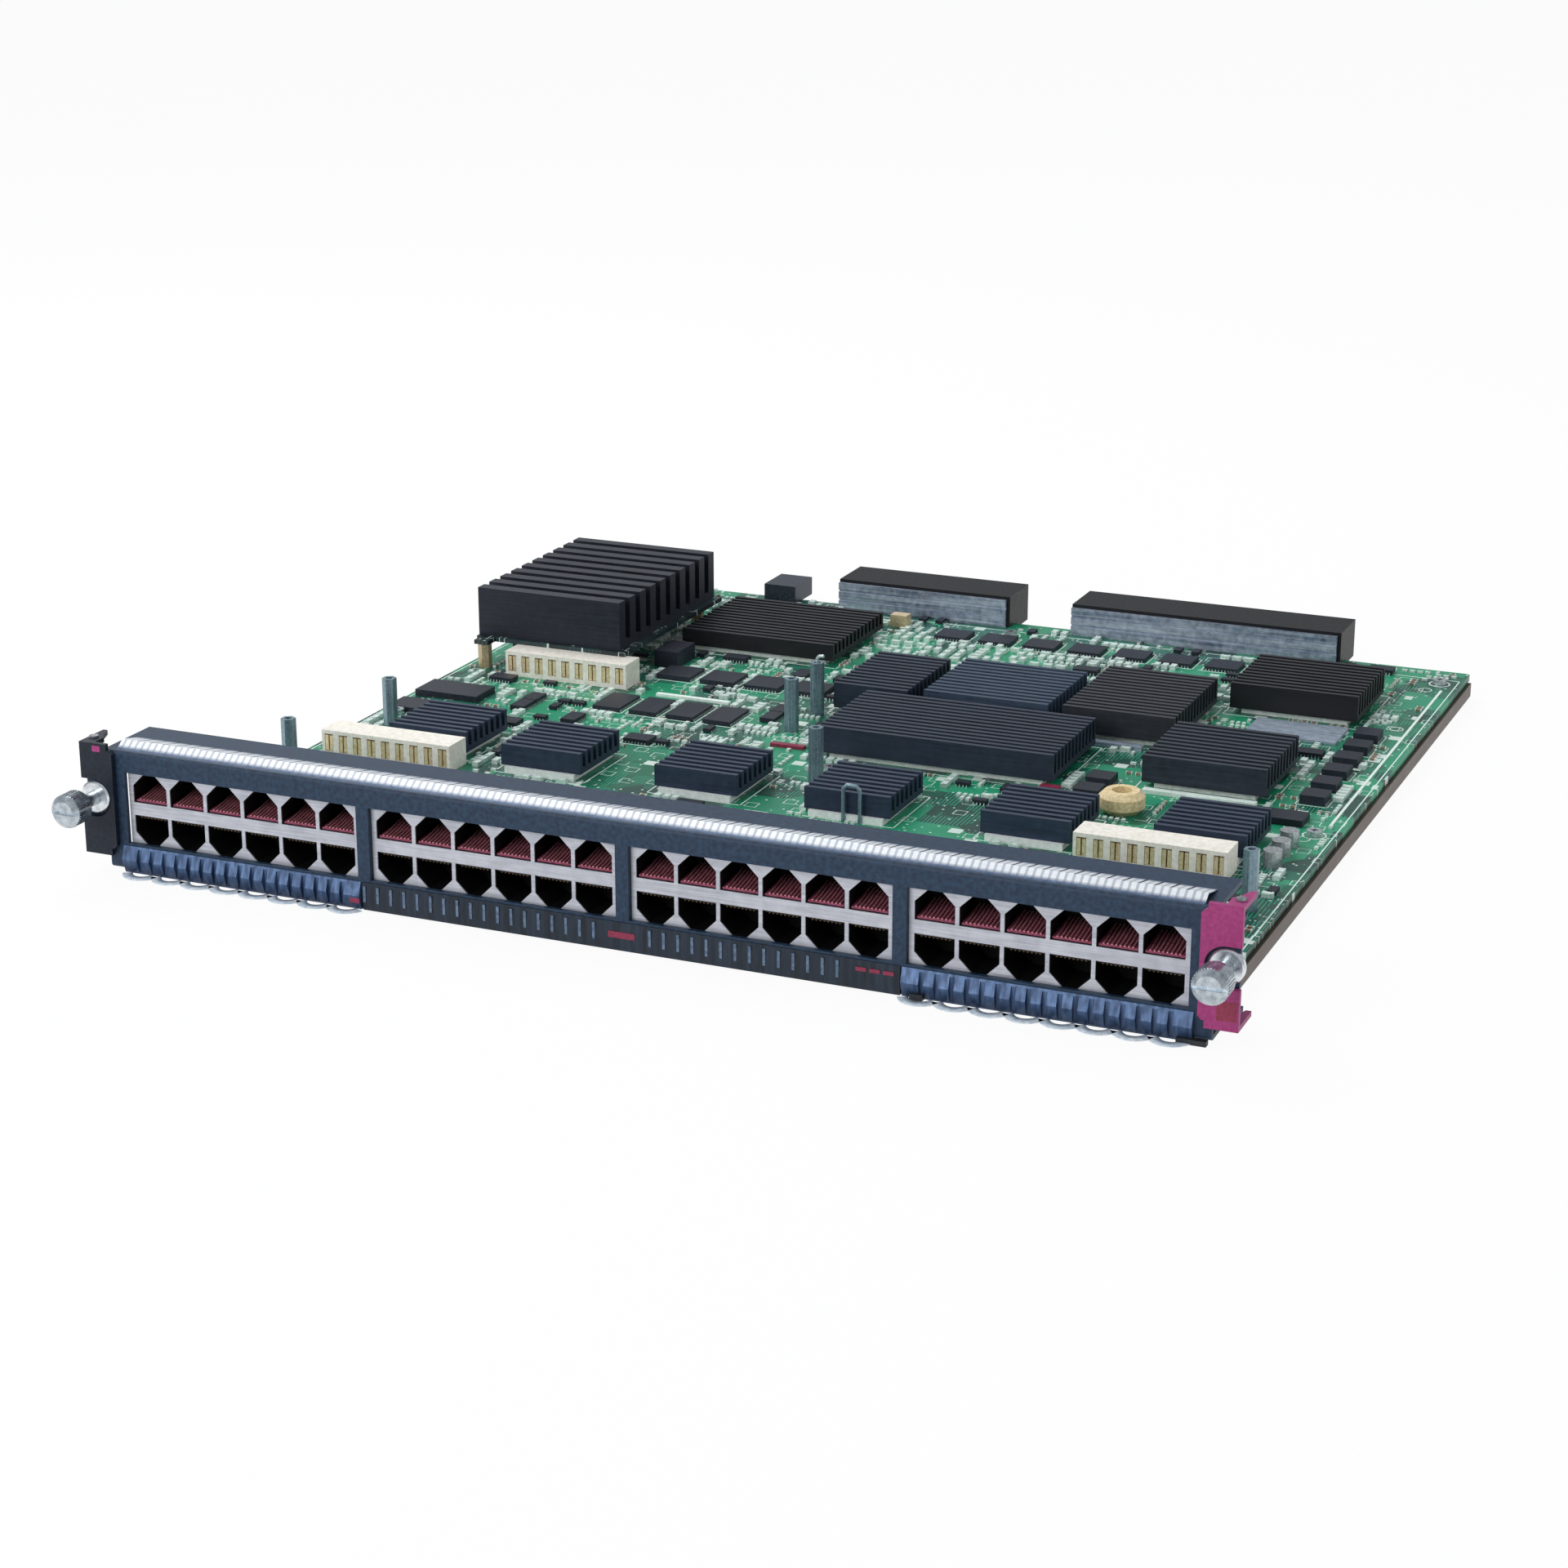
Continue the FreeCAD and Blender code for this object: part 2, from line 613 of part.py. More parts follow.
def main_board():
    """Circuit board with screw holes and clipped rear corners."""
    w = BOARD_HALF_WIDTH
    c = BOARD_CORNER
    outline = [
        (-w, BOARD_FRONT, BOARD_BOTTOM),
        (w, BOARD_FRONT, BOARD_BOTTOM),
        (w, BOARD_REAR - c, BOARD_BOTTOM),
        (w - c, BOARD_REAR, BOARD_BOTTOM),
        (-w + c, BOARD_REAR, BOARD_BOTTOM),
        (-w, BOARD_REAR - c, BOARD_BOTTOM),
    ]
    board = prism(outline, (0, 0, BOARD_THICKNESS))
    radius = SCREW_RADIUS + BOARD_HOLE_CLEARANCE
    holes = [
        sided_rod(x, y, BOARD_BOTTOM - 1, radius, BOARD_THICKNESS + 2, SCREW_SIDES)
        for x, y in standoff_places()
    ]
    return board.cut(holes)


def lever(side):
    """Ejector lever: a notched plate with a flange and claw at its top and bottom."""
    inner = FACE_HALF - LEVER_OVERLAP
    outer = EAR_END + LEVER_OUTSIDE
    step = outer - LEVER_STEP
    back = -LEVER_GAP
    front = back - LEVER_SHEET
    outline = [
        (inner, front, LEVER_INNER_LOW),
        (step, front, LEVER_INNER_LOW),
        (step, front, LEVER_LOW),
        (outer, front, LEVER_LOW),
        (outer, front, LEVER_HIGH),
        (step, front, LEVER_HIGH),
        (step, front, FACE_TOP),
        (inner, front, FACE_TOP),
    ]
    plate = prism(outline, (0, LEVER_SHEET, 0))
    corners = edges_along(plate, Vector(0, 1, 0), lambda m: m.x < inner + 0.1 or m.x > outer - 0.1)
    plate = plate.makeChamfer(LEVER_CORNER, corners)
    notch = rod(CAPTIVE_X, front - 1, CAPTIVE_Z, Vector(0, 1, 0), COLLAR_NOTCH, LEVER_SHEET + 2)
    low = CAPTIVE_Z - COLLAR_NOTCH
    mouth = box(CAPTIVE_X, outer + 1, front - 1, back + 1, low, CAPTIVE_Z + COLLAR_NOTCH)
    plate = plate.cut([notch, mouth])
    claw_end = PIVOT_Y + CLAW_REACH
    flange_outline = [
        (step, front, 0),
        (outer, front, 0),
        (outer, claw_end, 0),
        (outer - CLAW_TIP, claw_end, 0),
        (PIVOT_X - FLANGE_SIDE + FLANGE_CORNER, PIVOT_Y + FLANGE_SIDE, 0),
        (PIVOT_X - FLANGE_SIDE, PIVOT_Y + FLANGE_SIDE - FLANGE_CORNER, 0),
        (PIVOT_X - FLANGE_SIDE, back, 0),
        (step, back, 0),
    ]
    for z in (LEVER_LOW, LEVER_HIGH - LEVER_SHEET):
        flange = prism([(x, y, z) for x, y, _ in flange_outline], (0, 0, LEVER_SHEET))
        hole = rod(PIVOT_X, PIVOT_Y, z - 1, Vector(0, 0, 1), PIN_RADIUS + PIN_CLEARANCE, LEVER_SHEET + 2)
        plate = plate.fuse(flange).cut(hole)
    plate = plate.removeSplitter()
    return plate if side > 0 else mirrored(plate)


def lever_pins(side):
    """Two short headed pins that hang the lever on the ear's tabs."""
    high = FACE_TOP - EAR_TOP_DROP
    low_start = LEVER_LOW - PIN_END_GAP
    low_end = EAR_LOW + TAB_STEP + TAB_SHEET
    high_start = high - TAB_STEP - TAB_SHEET
    high_end = LEVER_HIGH + PIN_END_GAP
    up = Vector(0, 0, 1)
    low = rod(PIVOT_X, PIVOT_Y, low_start, up, PIN_RADIUS, low_end - low_start)
    head_low = low_start - PIN_HEAD_HEIGHT
    low_head = sided_rod(PIVOT_X, PIVOT_Y, head_low, PIN_HEAD_RADIUS, PIN_HEAD_HEIGHT, HEAD_SIDES)
    top = rod(PIVOT_X, PIVOT_Y, high_start, up, PIN_RADIUS, high_end - high_start)
    top_head = sided_rod(PIVOT_X, PIVOT_Y, high_end, PIN_HEAD_RADIUS, PIN_HEAD_HEIGHT, HEAD_SIDES)
    pins = group([low.fuse(low_head).removeSplitter(), top.fuse(top_head).removeSplitter()])
    return pins if side > 0 else mirrored(pins)


def turned(profile, side):
    """Revolve (radius, y) points about the captive screw's axis."""
    x = side * CAPTIVE_X
    points = [Vector(x + r, y, CAPTIVE_Z) for r, y in profile]
    wire = Part.makePolygon(points + points[:1])
    return Part.Face(wire).revolve(Vector(x, 0, CAPTIVE_Z), Vector(0, 1, 0), 360)


def screw_collar(side):
    """Turned collar pressed into the ear, with a chamfered front rim."""
    bore = NECK_RADIUS + NECK_CLEARANCE
    profile = [
        (bore, -COLLAR_FRONT),
        (COLLAR_RADIUS - COLLAR_CHAMFER, -COLLAR_FRONT),
        (COLLAR_RADIUS, -COLLAR_FRONT + COLLAR_CHAMFER),
        (COLLAR_RADIUS, 0),
        (COLLAR_BARREL_RADIUS, 0),
        (COLLAR_BARREL_RADIUS, COLLAR_REAR),
        (bore, COLLAR_REAR),
    ]
    return turned(profile, side)


def clip_front():
    return COLLAR_REAR + CLIP_GAP


def thumb_screw(side):
    """Captive screw, backed out: fluted knob, neck, clip groove and threaded end."""
    knob_back = -THUMB_STANDOFF
    knob_front = knob_back - THUMB_LENGTH
    r = THUMB_RADIUS
    groove = clip_front() - CLIP_CLEARANCE
    groove_end = clip_front() + CLIP_THICKNESS + CLIP_CLEARANCE
    profile = [
        (0, knob_front),
        (r - KNOB_CHAMFER, knob_front),
        (r, knob_front + KNOB_CHAMFER),
        (r, knob_back - KNOB_CHAMFER),
        (r - KNOB_CHAMFER, knob_back),
        (NECK_RADIUS, knob_back),
        (NECK_RADIUS, groove),
        (GROOVE_RADIUS, groove),
        (GROOVE_RADIUS, groove_end),
        (THREAD_RADIUS, groove_end),
        (THREAD_RADIUS, THREAD_END - THREAD_CHAMFER),
        (THREAD_RADIUS - THREAD_CHAMFER, THREAD_END),
        (0, THREAD_END),
    ]
    screw = turned(profile, side)
    x = side * CAPTIVE_X
    deep = knob_front + SLOT_DEPTH
    half = SLOT_WIDTH / 2
    slot = box(x - r, x + r, knob_front - 1, deep, CAPTIVE_Z - half, CAPTIVE_Z + half)
    return screw.cut(slot)


def screw_clip(side):
    """Retaining ring in the screw's groove, behind the collar."""
    y = clip_front()
    inner = GROOVE_RADIUS + CLIP_CLEARANCE
    profile = [
        (inner, y),
        (CLIP_RADIUS, y),
        (CLIP_RADIUS, y + CLIP_THICKNESS),
        (inner, y + CLIP_THICKNESS),
    ]
    return turned(profile, side)


def finned(x0, x1, y0, y1, z0, base, top, pitch, fin):
    """Heat sink with upright fins that run along X on a flat base."""
    solid = box(x0, x1, y0, y1, z0, top)
    count = max(2, int((y1 - y0 - fin) // pitch) + 1)
    step = (y1 - y0 - fin) / (count - 1)
    gaps = []
    for k in range(count - 1):
        low = y0 + k * step + fin
        gaps.append(box(x0 - 1, x1 + 1, low, low + step - fin, z0 + base, top + 1))
    return solid.cut(gaps)


def port_sink_box(index):
    x, y = PORT_SINKS[index]
    half = PORT_SINK_SIZE / 2
    return x - half, x + half, y, y + PORT_SINK_SIZE


def port_heat_sink(index):
    x0, x1, y0, y1 = port_sink_box(index)
    top = SINK_BOTTOM + PORT_SINK_HEIGHT
    return finned(x0, x1, y0, y1, SINK_BOTTOM, SINK_BASE, top, FIN_PITCH, FIN_THICKNESS)


def core_heat_sink(index):
    x0, x1, y0, y1 = CORE_SINKS[index]
    top = SINK_BOTTOM + CORE_SINK_HEIGHT
    return finned(x0, x1, y0, y1, SINK_BOTTOM, SINK_BASE, top, FIN_PITCH, FIN_THICKNESS)


def rear_heat_sink():
    x0, x1, y0, y1 = REAR_SINK
    top = SINK_BOTTOM + REAR_SINK_HEIGHT
    return finned(x0, x1, y0, y1, SINK_BOTTOM, SINK_BASE, top, FIN_PITCH, FIN_THICKNESS)


def chip(x0, x1, y0, y1, inset, lead):
    """Chip package under a heat sink, which shows a little at the sink's front."""
    return box(x0 + inset, x1 - inset, y0 - lead, y1 - inset, BOARD_TOP, SINK_BOTTOM)


def port_chips():
    places = [port_sink_box(k) for k in range(len(PORT_SINKS))]
    return group([chip(*place, PORT_CHIP_INSET, PORT_CHIP_LEAD) for place in places])


def core_chips():
    sinks = list(CORE_SINKS) + [REAR_SINK]
    return group([chip(*sink, CORE_CHIP_INSET, -CORE_CHIP_SETBACK) for sink in sinks])


def package(x, y, width, depth, height):
    """Flat package on the board, placed by its middle."""
    high = BOARD_TOP + height
    return box(x - width / 2, x + width / 2, y - depth / 2, y + depth / 2, BOARD_TOP, high)


def board_packages():
    """A transformer behind each pair of jacks, and rows of plain packages."""
    y = SHIELD_REAR + MAGNETICS_GAP + MAGNETICS_DEPTH / 2
    packages = []
    for index in range(GANGS):
        for x in port_centres(index):
            packages.append(package(x, y, MAGNETICS_WIDTH, MAGNETICS_DEPTH, MAGNETICS_HEIGHT))
    for first, last, size in PACKAGE_ROWS:
        run = Vector(last[0] - first[0], last[1] - first[1], 0)
        side = size[0] if abs(run.x) > abs(run.y) else size[1]
        steps = int(run.Length // (side + PACKAGE_SPACE))
        for k in range(steps + 1):
            packages.append(package(first[0] + run.x * k / steps, first[1] + run.y * k / steps, *size))
    return group(packages)


def card_socket(place):
    """Mezzanine socket with a row of deep slots that open to the front."""
    x, y = SOCKET_PLACES[place]
    half = SOCKET_LENGTH / 2
    body = box(x - half, x + half, y, y + SOCKET_DEPTH, BOARD_TOP, BOARD_TOP + SOCKET_HEIGHT)
    pitch = SOCKET_LENGTH / SOCKET_SLOTS
    slot = SOCKET_SLOT_WIDTH / 2
    high = BOARD_TOP + SOCKET_HEIGHT - SOCKET_LID
    low = high - SOCKET_SLOT_DEPTH
    slots = []
    for k in range(SOCKET_SLOTS):
        cx = x + (k - (SOCKET_SLOTS - 1) / 2) * pitch
        slots.append(box(cx - slot, cx + slot, y - 1, y + SOCKET_DEPTH - SOCKET_BACK, low, high))
    return body.cut(slots)


def board_posts():
    posts = []
    for x, y in TALL_POSTS:
        post = hex_rod(x, y, BOARD_TOP, POST_FLATS, POST_HEIGHT)
        start = BOARD_TOP + POST_HEIGHT - POST_HOLE_DEPTH
        hole = rod(x, y, start, Vector(0, 0, 1), POST_HOLE_RADIUS, POST_HOLE_DEPTH + 1)
        posts.append(post.cut(hole))
    return group(posts)


def module_box():
    half = MODULE_SINK_WIDTH / 2
    return MODULE_MIDDLE - half, MODULE_MIDDLE + half, MODULE_FRONT, MODULE_FRONT + MODULE_SINK_DEPTH


def module_floor():
    return BOARD_TOP + SOCKET_HEIGHT


def module_board():
    x0, x1, y0, y1 = module_box()
    z = module_floor()
    front = y0 - MODULE_BOARD_FRONT
    board = box(x0, x1 + MODULE_BOARD_SIDE, front, y1 + 1, z, z + MODULE_BOARD)
    ear_left = x0 + MODULE_EAR_INSET
    reach = box(ear_left, ear_left + MODULE_EAR, front - MODULE_EAR, front, z, z + MODULE_BOARD)
    return board.fuse(reach).removeSplitter()


def module_heat_sink():
    """Large sink that covers the module, with fins along X."""
    x0, x1, y0, y1 = module_box()
    low = module_floor() + MODULE_BOARD
    top = low + MODULE_SINK_HEIGHT
    return finned(x0, x1, y0, y1, low, MODULE_BASE, top, MODULE_FIN_PITCH, MODULE_FIN_THICKNESS)


def module_posts():
    x0, x1, y0, y1 = module_box()
    ear_middle = y0 - MODULE_BOARD_FRONT - MODULE_EAR / 2
    inset = MODULE_POST_INSET
    places = [
        (x0 + MODULE_EAR_INSET + MODULE_EAR / 2, ear_middle),
        (x0 + inset, y1 - inset),
        (x1 - inset, y1 - inset),
    ]
    return group([hex_rod(x, y, BOARD_TOP, POST_FLATS, SOCKET_HEIGHT) for x, y in places])


def backplane_housing(span):
    """Receptacle past the board's rear edge, with a cover over the wafers."""
    x0, x1 = span
    top = BOARD_TOP + CONNECTOR_HEIGHT
    body = box(x0, x1, WAFER_REAR, CONNECTOR_REAR, BOARD_BOTTOM, top)
    start = WAFER_FRONT + COVER_SETBACK
    cover = box(x0, x1, start, WAFER_REAR, top - CONNECTOR_COVER, top)
    cheek = box(x1 - CONNECTOR_CHEEK, x1, start, WAFER_REAR, BOARD_TOP, top)
    body = body.fuse([cover, cheek])
    wall = CONNECTOR_WALL
    count = int((x1 - x0 - 2 * wall) // CONTACT_PITCH)
    first = (x0 + x1) / 2 - (count - 1) / 2 * CONTACT_PITCH
    slots = []
    for k in range(count):
        x = first + k * CONTACT_PITCH
        slots.append(
            box(
                x - CONTACT_SLOT / 2,
                x + CONTACT_SLOT / 2,
                CONNECTOR_REAR - CONTACT_SLOT_DEPTH,
                CONNECTOR_REAR + 1,
                BOARD_BOTTOM + wall,
                top - wall,
            )
        )
    return body.cut(slots).removeSplitter()


def backplane_wafers(span):
    """Stack of contact wafers on the board, tied by stiffener bars along its front."""
    x0, x1 = span
    top = BOARD_TOP + CONNECTOR_HEIGHT - CONNECTOR_COVER
    body = box(x0, x1 - CONNECTOR_CHEEK, WAFER_FRONT, WAFER_REAR, BOARD_TOP, top)
    rear = WAFER_FRONT + WAFER_GROOVE_DEPTH
    step = (top - BOARD_TOP) / WAFER_BARS
    grooves = []
    for k in range(WAFER_BARS):
        z = BOARD_TOP + k * step
        grooves.append(box(x0 - 1, x1 + 1, WAFER_FRONT - 1, rear, z, z + WAFER_GROOVE))
    return body.cut(grooves)


def guide_block():
    """Guide receiver for the backplane's pin, beside the left connector."""
    x0 = GUIDE_CENTRE - GUIDE_WIDTH / 2
    x1 = GUIDE_CENTRE + GUIDE_WIDTH / 2
    rear = BOARD_REAR + GUIDE_OVERHANG
    body = box(x0, x1, WAFER_FRONT, rear, BOARD_TOP, BOARD_TOP + GUIDE_HEIGHT)
    z = BOARD_TOP + GUIDE_HEIGHT / 2
    start = rear - GUIDE_BORE_DEPTH
    bore = rod(GUIDE_CENTRE, start, z, Vector(0, 1, 0), GUIDE_BORE, GUIDE_BORE_DEPTH + 1)
    mouth = Vector(GUIDE_CENTRE, rear - GUIDE_FLARE, z)
    flare = Part.makeCone(GUIDE_BORE, GUIDE_BORE + GUIDE_FLARE, GUIDE_FLARE, mouth, Vector(0, 1, 0))
    return body.cut([bore, flare])


def inductor():
    """Moulded ring choke lying flat on the board."""
    x, y = INDUCTOR_PLACE
    ring = sided_rod(x, y, BOARD_TOP, INDUCTOR_RADIUS, INDUCTOR_HEIGHT, INDUCTOR_SIDES)
    rims = [edge for edge in ring.Edges if abs(edge.tangentAt(edge.FirstParameter).z) < 0.1]
    ring = ring.makeChamfer(INDUCTOR_EDGE, rims)
    return ring.cut(sided_rod(x, y, BOARD_TOP - 1, INDUCTOR_HOLE, INDUCTOR_HEIGHT + 2, INDUCTOR_SIDES))


def capacitors():
    x = BOARD_HALF_WIDTH - CAPACITOR_INSET
    cans = []
    for k in range(CAPACITORS):
        y = CAPACITOR_Y + k * CAPACITOR_PITCH
        cans.append(sided_rod(x, y, BOARD_TOP, CAPACITOR_RADIUS, CAPACITOR_HEIGHT, CAPACITOR_SIDES))
    return group(cans)


def build():
    parts = {
        "carrier_tray": carrier_tray(),
        "tray_standoffs": tray_standoffs(),
        "main_board": main_board(),
        "board_screws": board_screws(),
        "faceplate": faceplate(),
        "faceplate_screws": faceplate_screws(),
        "top_gasket": top_gasket(),
        "bottom_gasket": bottom_gasket(),
        "port_chips": port_chips(),
        "core_chips": core_chips(),
        "board_packages": board_packages(),
        "rear_heat_sink": rear_heat_sink(),
        "module_board": module_board(),
        "module_heat_sink": module_heat_sink(),
        "module_posts": module_posts(),
        "board_posts": board_posts(),
        "backplane_housing_left": backplane_housing(LEFT_CONNECTOR),
        "backplane_housing_right": backplane_housing(RIGHT_CONNECTOR),
        "backplane_wafers_left": backplane_wafers(LEFT_CONNECTOR),
        "backplane_wafers_right": backplane_wafers(RIGHT_CONNECTOR),
        "guide_block": guide_block(),
        "inductor": inductor(),
        "capacitors": capacitors(),
    }
    for index in range(GANGS):
        parts[f"port_shield_{index + 1}"] = port_shield(index)
        parts[f"port_housing_{index + 1}"] = port_housing(index)
        parts[f"port_contacts_{index + 1}"] = port_contacts(index)
    for index in range(len(PORT_SINKS)):
        parts[f"port_heat_sink_{index + 1}"] = port_heat_sink(index)
    for index in range(len(CORE_SINKS)):
        parts[f"core_heat_sink_{index + 1}"] = core_heat_sink(index)
    for place in SOCKET_PLACES:
        parts[f"card_socket_{place}"] = card_socket(place)
    for name, side in (("left", -1), ("right", 1)):
        parts[f"lever_{name}"] = lever(side)
        parts[f"lever_pins_{name}"] = lever_pins(side)
        parts[f"screw_collar_{name}"] = screw_collar(side)
        parts[f"thumb_screw_{name}"] = thumb_screw(side)
        parts[f"screw_clip_{name}"] = screw_clip(side)
    return parts


def main():
    os.makedirs("parts", exist_ok=True)
    for name, shape in build().items():
        shape.exportStep(f"parts/{name}.step")
        print(name, len(shape.Solids), round(shape.Volume, 1), shape.isValid())


main()
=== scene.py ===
import json
import math
import random

import bmesh
import bpy
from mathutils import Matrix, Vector, noise


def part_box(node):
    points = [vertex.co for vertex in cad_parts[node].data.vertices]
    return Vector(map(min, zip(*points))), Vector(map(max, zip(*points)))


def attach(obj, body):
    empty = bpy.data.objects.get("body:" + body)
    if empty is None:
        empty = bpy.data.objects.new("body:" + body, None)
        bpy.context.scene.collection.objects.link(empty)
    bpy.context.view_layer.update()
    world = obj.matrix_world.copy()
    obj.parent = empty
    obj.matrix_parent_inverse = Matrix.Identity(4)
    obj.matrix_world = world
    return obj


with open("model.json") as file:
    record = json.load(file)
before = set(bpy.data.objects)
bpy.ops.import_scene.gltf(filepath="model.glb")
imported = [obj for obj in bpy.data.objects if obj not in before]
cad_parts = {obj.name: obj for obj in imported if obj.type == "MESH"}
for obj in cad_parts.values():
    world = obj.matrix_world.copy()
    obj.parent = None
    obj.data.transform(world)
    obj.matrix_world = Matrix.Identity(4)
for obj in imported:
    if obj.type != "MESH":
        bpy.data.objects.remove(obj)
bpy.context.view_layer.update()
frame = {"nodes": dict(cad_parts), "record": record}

# Looks for a switch line card: finishes for every solid, and the small board parts, jack wires,
# printed lines, painted shade in the screw recesses, knob ribs, leaf springs and coloured
# patches that the solids leave out. Metres. X runs along the faceplate, Y into the chassis and Z
# up.

nodes = frame["nodes"]
MM = 0.001
MM_PER_METRE = 1000.0
BUMP_DEPTH = 0.05 * MM
FINGER_PITCH_MM = 4.76       # of both gasket strips
TOP_STRIP_EDGE = 42.2 * MM   # heights between which the upper strip turns from painted shade to a painted highlight
TOP_STRIP_CREST = 43.0 * MM
END_STRIP_FROM = 91.6 * MM   # the blue ends of the lower strip lie outside this


def ink(r, g, b):
    """A display colour, 0 to 255, as the linear values a shader takes."""
    def linear(v):
        v /= 255
        return v / 12.92 if v <= 0.04045 else ((v + 0.055) / 1.055) ** 2.4
    return (linear(r), linear(g), linear(b), 1.0)


# ---------------------------------------------------------------- node helpers


def feed(tree, socket, value):
    """Give an input its value: a plain one, or the output socket that feeds it."""
    if isinstance(value, bpy.types.NodeSocket):
        tree.links.new(value, socket)
    else:
        socket.default_value = value


def add(tree, kind, inputs=None, **settings):
    """Add a node with its settings and its inputs."""
    node = tree.nodes.new(kind)
    for key, value in settings.items():
        setattr(node, key, value)
    for key, value in (inputs or {}).items():
        feed(tree, node.inputs[key], value)
    return node


def sums(tree, operation, a, b=0.0, c=0.0):
    node = add(tree, "ShaderNodeMath", {0: a, 1: b, 2: c}, operation=operation)
    return node.outputs[0]


def times(tree, a, b):
    return sums(tree, "MULTIPLY", a, b)


def noise_mask(tree, where, scale, detail):
    inputs = {"Vector": where, "Scale": scale, "Detail": detail}
    return add(tree, "ShaderNodeTexNoise", inputs).outputs["Fac"]


def cells(tree, where, scale, randomness=1.0, distance="CHEBYCHEV"):
    """The outputs of a cell pattern: square cells, or round ones with EUCLIDEAN."""
    inputs = {"Vector": where, "Scale": scale, "Randomness": randomness}
    return add(tree, "ShaderNodeTexVoronoi", inputs, distance=distance).outputs


def named_tree(kind, name, inputs, outputs):
    """An empty node group with named sockets, with what it is given and what it puts out."""
    tree = bpy.data.node_groups.new(name, kind)
    for label, value_kind, value in inputs:
        socket = tree.interface.new_socket(
            label, in_out="INPUT", socket_type="NodeSocket" + value_kind
        )
        if value is not None:
            socket.default_value = value
    for label, value_kind in outputs:
        tree.interface.new_socket(label, in_out="OUTPUT", socket_type="NodeSocket" + value_kind)
    given = tree.nodes.new("NodeGroupInput").outputs
    return tree, given, tree.nodes.new("NodeGroupOutput").inputs


def make_grain():
    """Fine mottling: a soft mask and a small height, at a grain size in millimetres."""
    tree, given, result = named_tree(
        "ShaderNodeTree", "fine_grain",
        [("Vector", "Vector", None), ("Grain mm", "Float", 1.0)],
        [("Mask", "Float"), ("Height", "Float")],
    )
    scale = sums(tree, "DIVIDE", MM_PER_METRE, given["Grain mm"])
    fine = times(tree, scale, 4.0)
    tree.links.new(noise_mask(tree, given["Vector"], scale, 4.0), result["Mask"])
    tree.links.new(noise_mask(tree, given["Vector"], fine, 2.0), result["Height"])
    return tree


def make_brushing():
    """Long scratches along one axis, from coordinates squeezed by a stretch vector."""
    tree, given, result = named_tree(
        "ShaderNodeTree", "brushing",
        [
            ("Vector", "Vector", None),
            ("Stretch", "Vector", (0.05, 1.0, 1.0)),
            ("Line mm", "Float", 0.5),
        ],
        [("Mask", "Float")],
    )
    inputs = {0: given["Vector"], 1: given["Stretch"]}
    squeezed = add(tree, "ShaderNodeVectorMath", inputs, operation="MULTIPLY").outputs[0]
    scale = sums(tree, "DIVIDE", MM_PER_METRE, given["Line mm"])
    tree.links.new(noise_mask(tree, squeezed, scale, 3.0), result["Mask"])
    return tree


def make_lit_tops():
    """A painted highlight: a thin pale sheen that lies only where the surface looks up."""
    tree, given, result = named_tree(
        "ShaderNodeTree", "painted_top_sheen",
        [("Vector", "Vector", None), ("Amount", "Float", 0.2)],
        [("Mask", "Float")],
    )
    facing = add(tree, "ShaderNodeNewGeometry").outputs["Normal"]
    up = add(tree, "ShaderNodeSeparateXYZ", {0: facing}).outputs["Z"]
    up = sums(tree, "MAXIMUM", up, 0.0)
    upward_sheen = times(tree, up, noise_mask(tree, given["Vector"], 90.0, 5.0))
    tree.links.new(times(tree, upward_sheen, given["Amount"]), result["Mask"])
    return tree


def make_board_print():
    """Copper runs, pours, vias and printed marks of a dense circuit board."""
    tree, given, result = named_tree(
        "ShaderNodeTree", "board_print",
        [("Vector", "Vector", None), ("Run pitch mm", "Float", 1.3)],
        [("Runs", "Float"), ("Pours", "Float"), ("Vias", "Float"), ("Marks", "Float")],
    )
    enlarged = {0: given["Vector"], 3: MM_PER_METRE}
    mm = add(tree, "ShaderNodeVectorMath", enlarged, operation="SCALE").outputs[0]
    level = {0: mm, 1: (1.0, 1.0, 0.0)}
    flat = add(tree, "ShaderNodeVectorMath", level, operation="MULTIPLY").outputs[0]
    areas = cells(tree, flat, 0.045)
    chance = add(tree, "ShaderNodeSeparateColor", {0: areas["Color"]}).outputs
    xyz = add(tree, "ShaderNodeSeparateXYZ", {0: flat}).outputs
    lines = []
    for axis in ("X", "Y"):
        step = sums(tree, "DIVIDE", xyz[axis], given["Run pitch mm"])
        lines.append(sums(tree, "LESS_THAN", sums(tree, "FRACT", step), 0.38))
    across = sums(tree, "GREATER_THAN", chance[0], 0.5)
    along = sums(tree, "SUBTRACT", 1.0, across)
    runs = times(tree, lines[0], across)
    runs = sums(tree, "ADD", runs, times(tree, lines[1], along))
    bundle = cells(tree, flat, 0.13)
    busy = add(tree, "ShaderNodeSeparateColor", {0: bundle["Color"]}).outputs[1]
    runs = times(tree, runs, sums(tree, "GREATER_THAN", busy, 0.4))
    dots = cells(tree, flat, 0.34, 0.75, "EUCLIDEAN")
    vias = sums(tree, "LESS_THAN", dots["Distance"], 0.17)
    rings = cells(tree, flat, 0.16, 0.9)
    inner = sums(tree, "GREATER_THAN", rings["Distance"], 0.31)
    outer = sums(tree, "LESS_THAN", rings["Distance"], 0.36)
    printed = add(tree, "ShaderNodeSeparateColor", {0: rings["Color"]}).outputs[2]
    marks = times(tree, inner, outer)
    marks = times(tree, marks, sums(tree, "GREATER_THAN", printed, 0.45))
    tree.links.new(runs, result["Runs"])
    tree.links.new(chance[1], result["Pours"])
    tree.links.new(vias, result["Vias"])
    tree.links.new(marks, result["Marks"])
    return tree


GRAIN = make_grain()
BRUSHING = make_brushing()
TOP_SHEEN = make_lit_tops()
BOARD_PRINT = make_board_print()


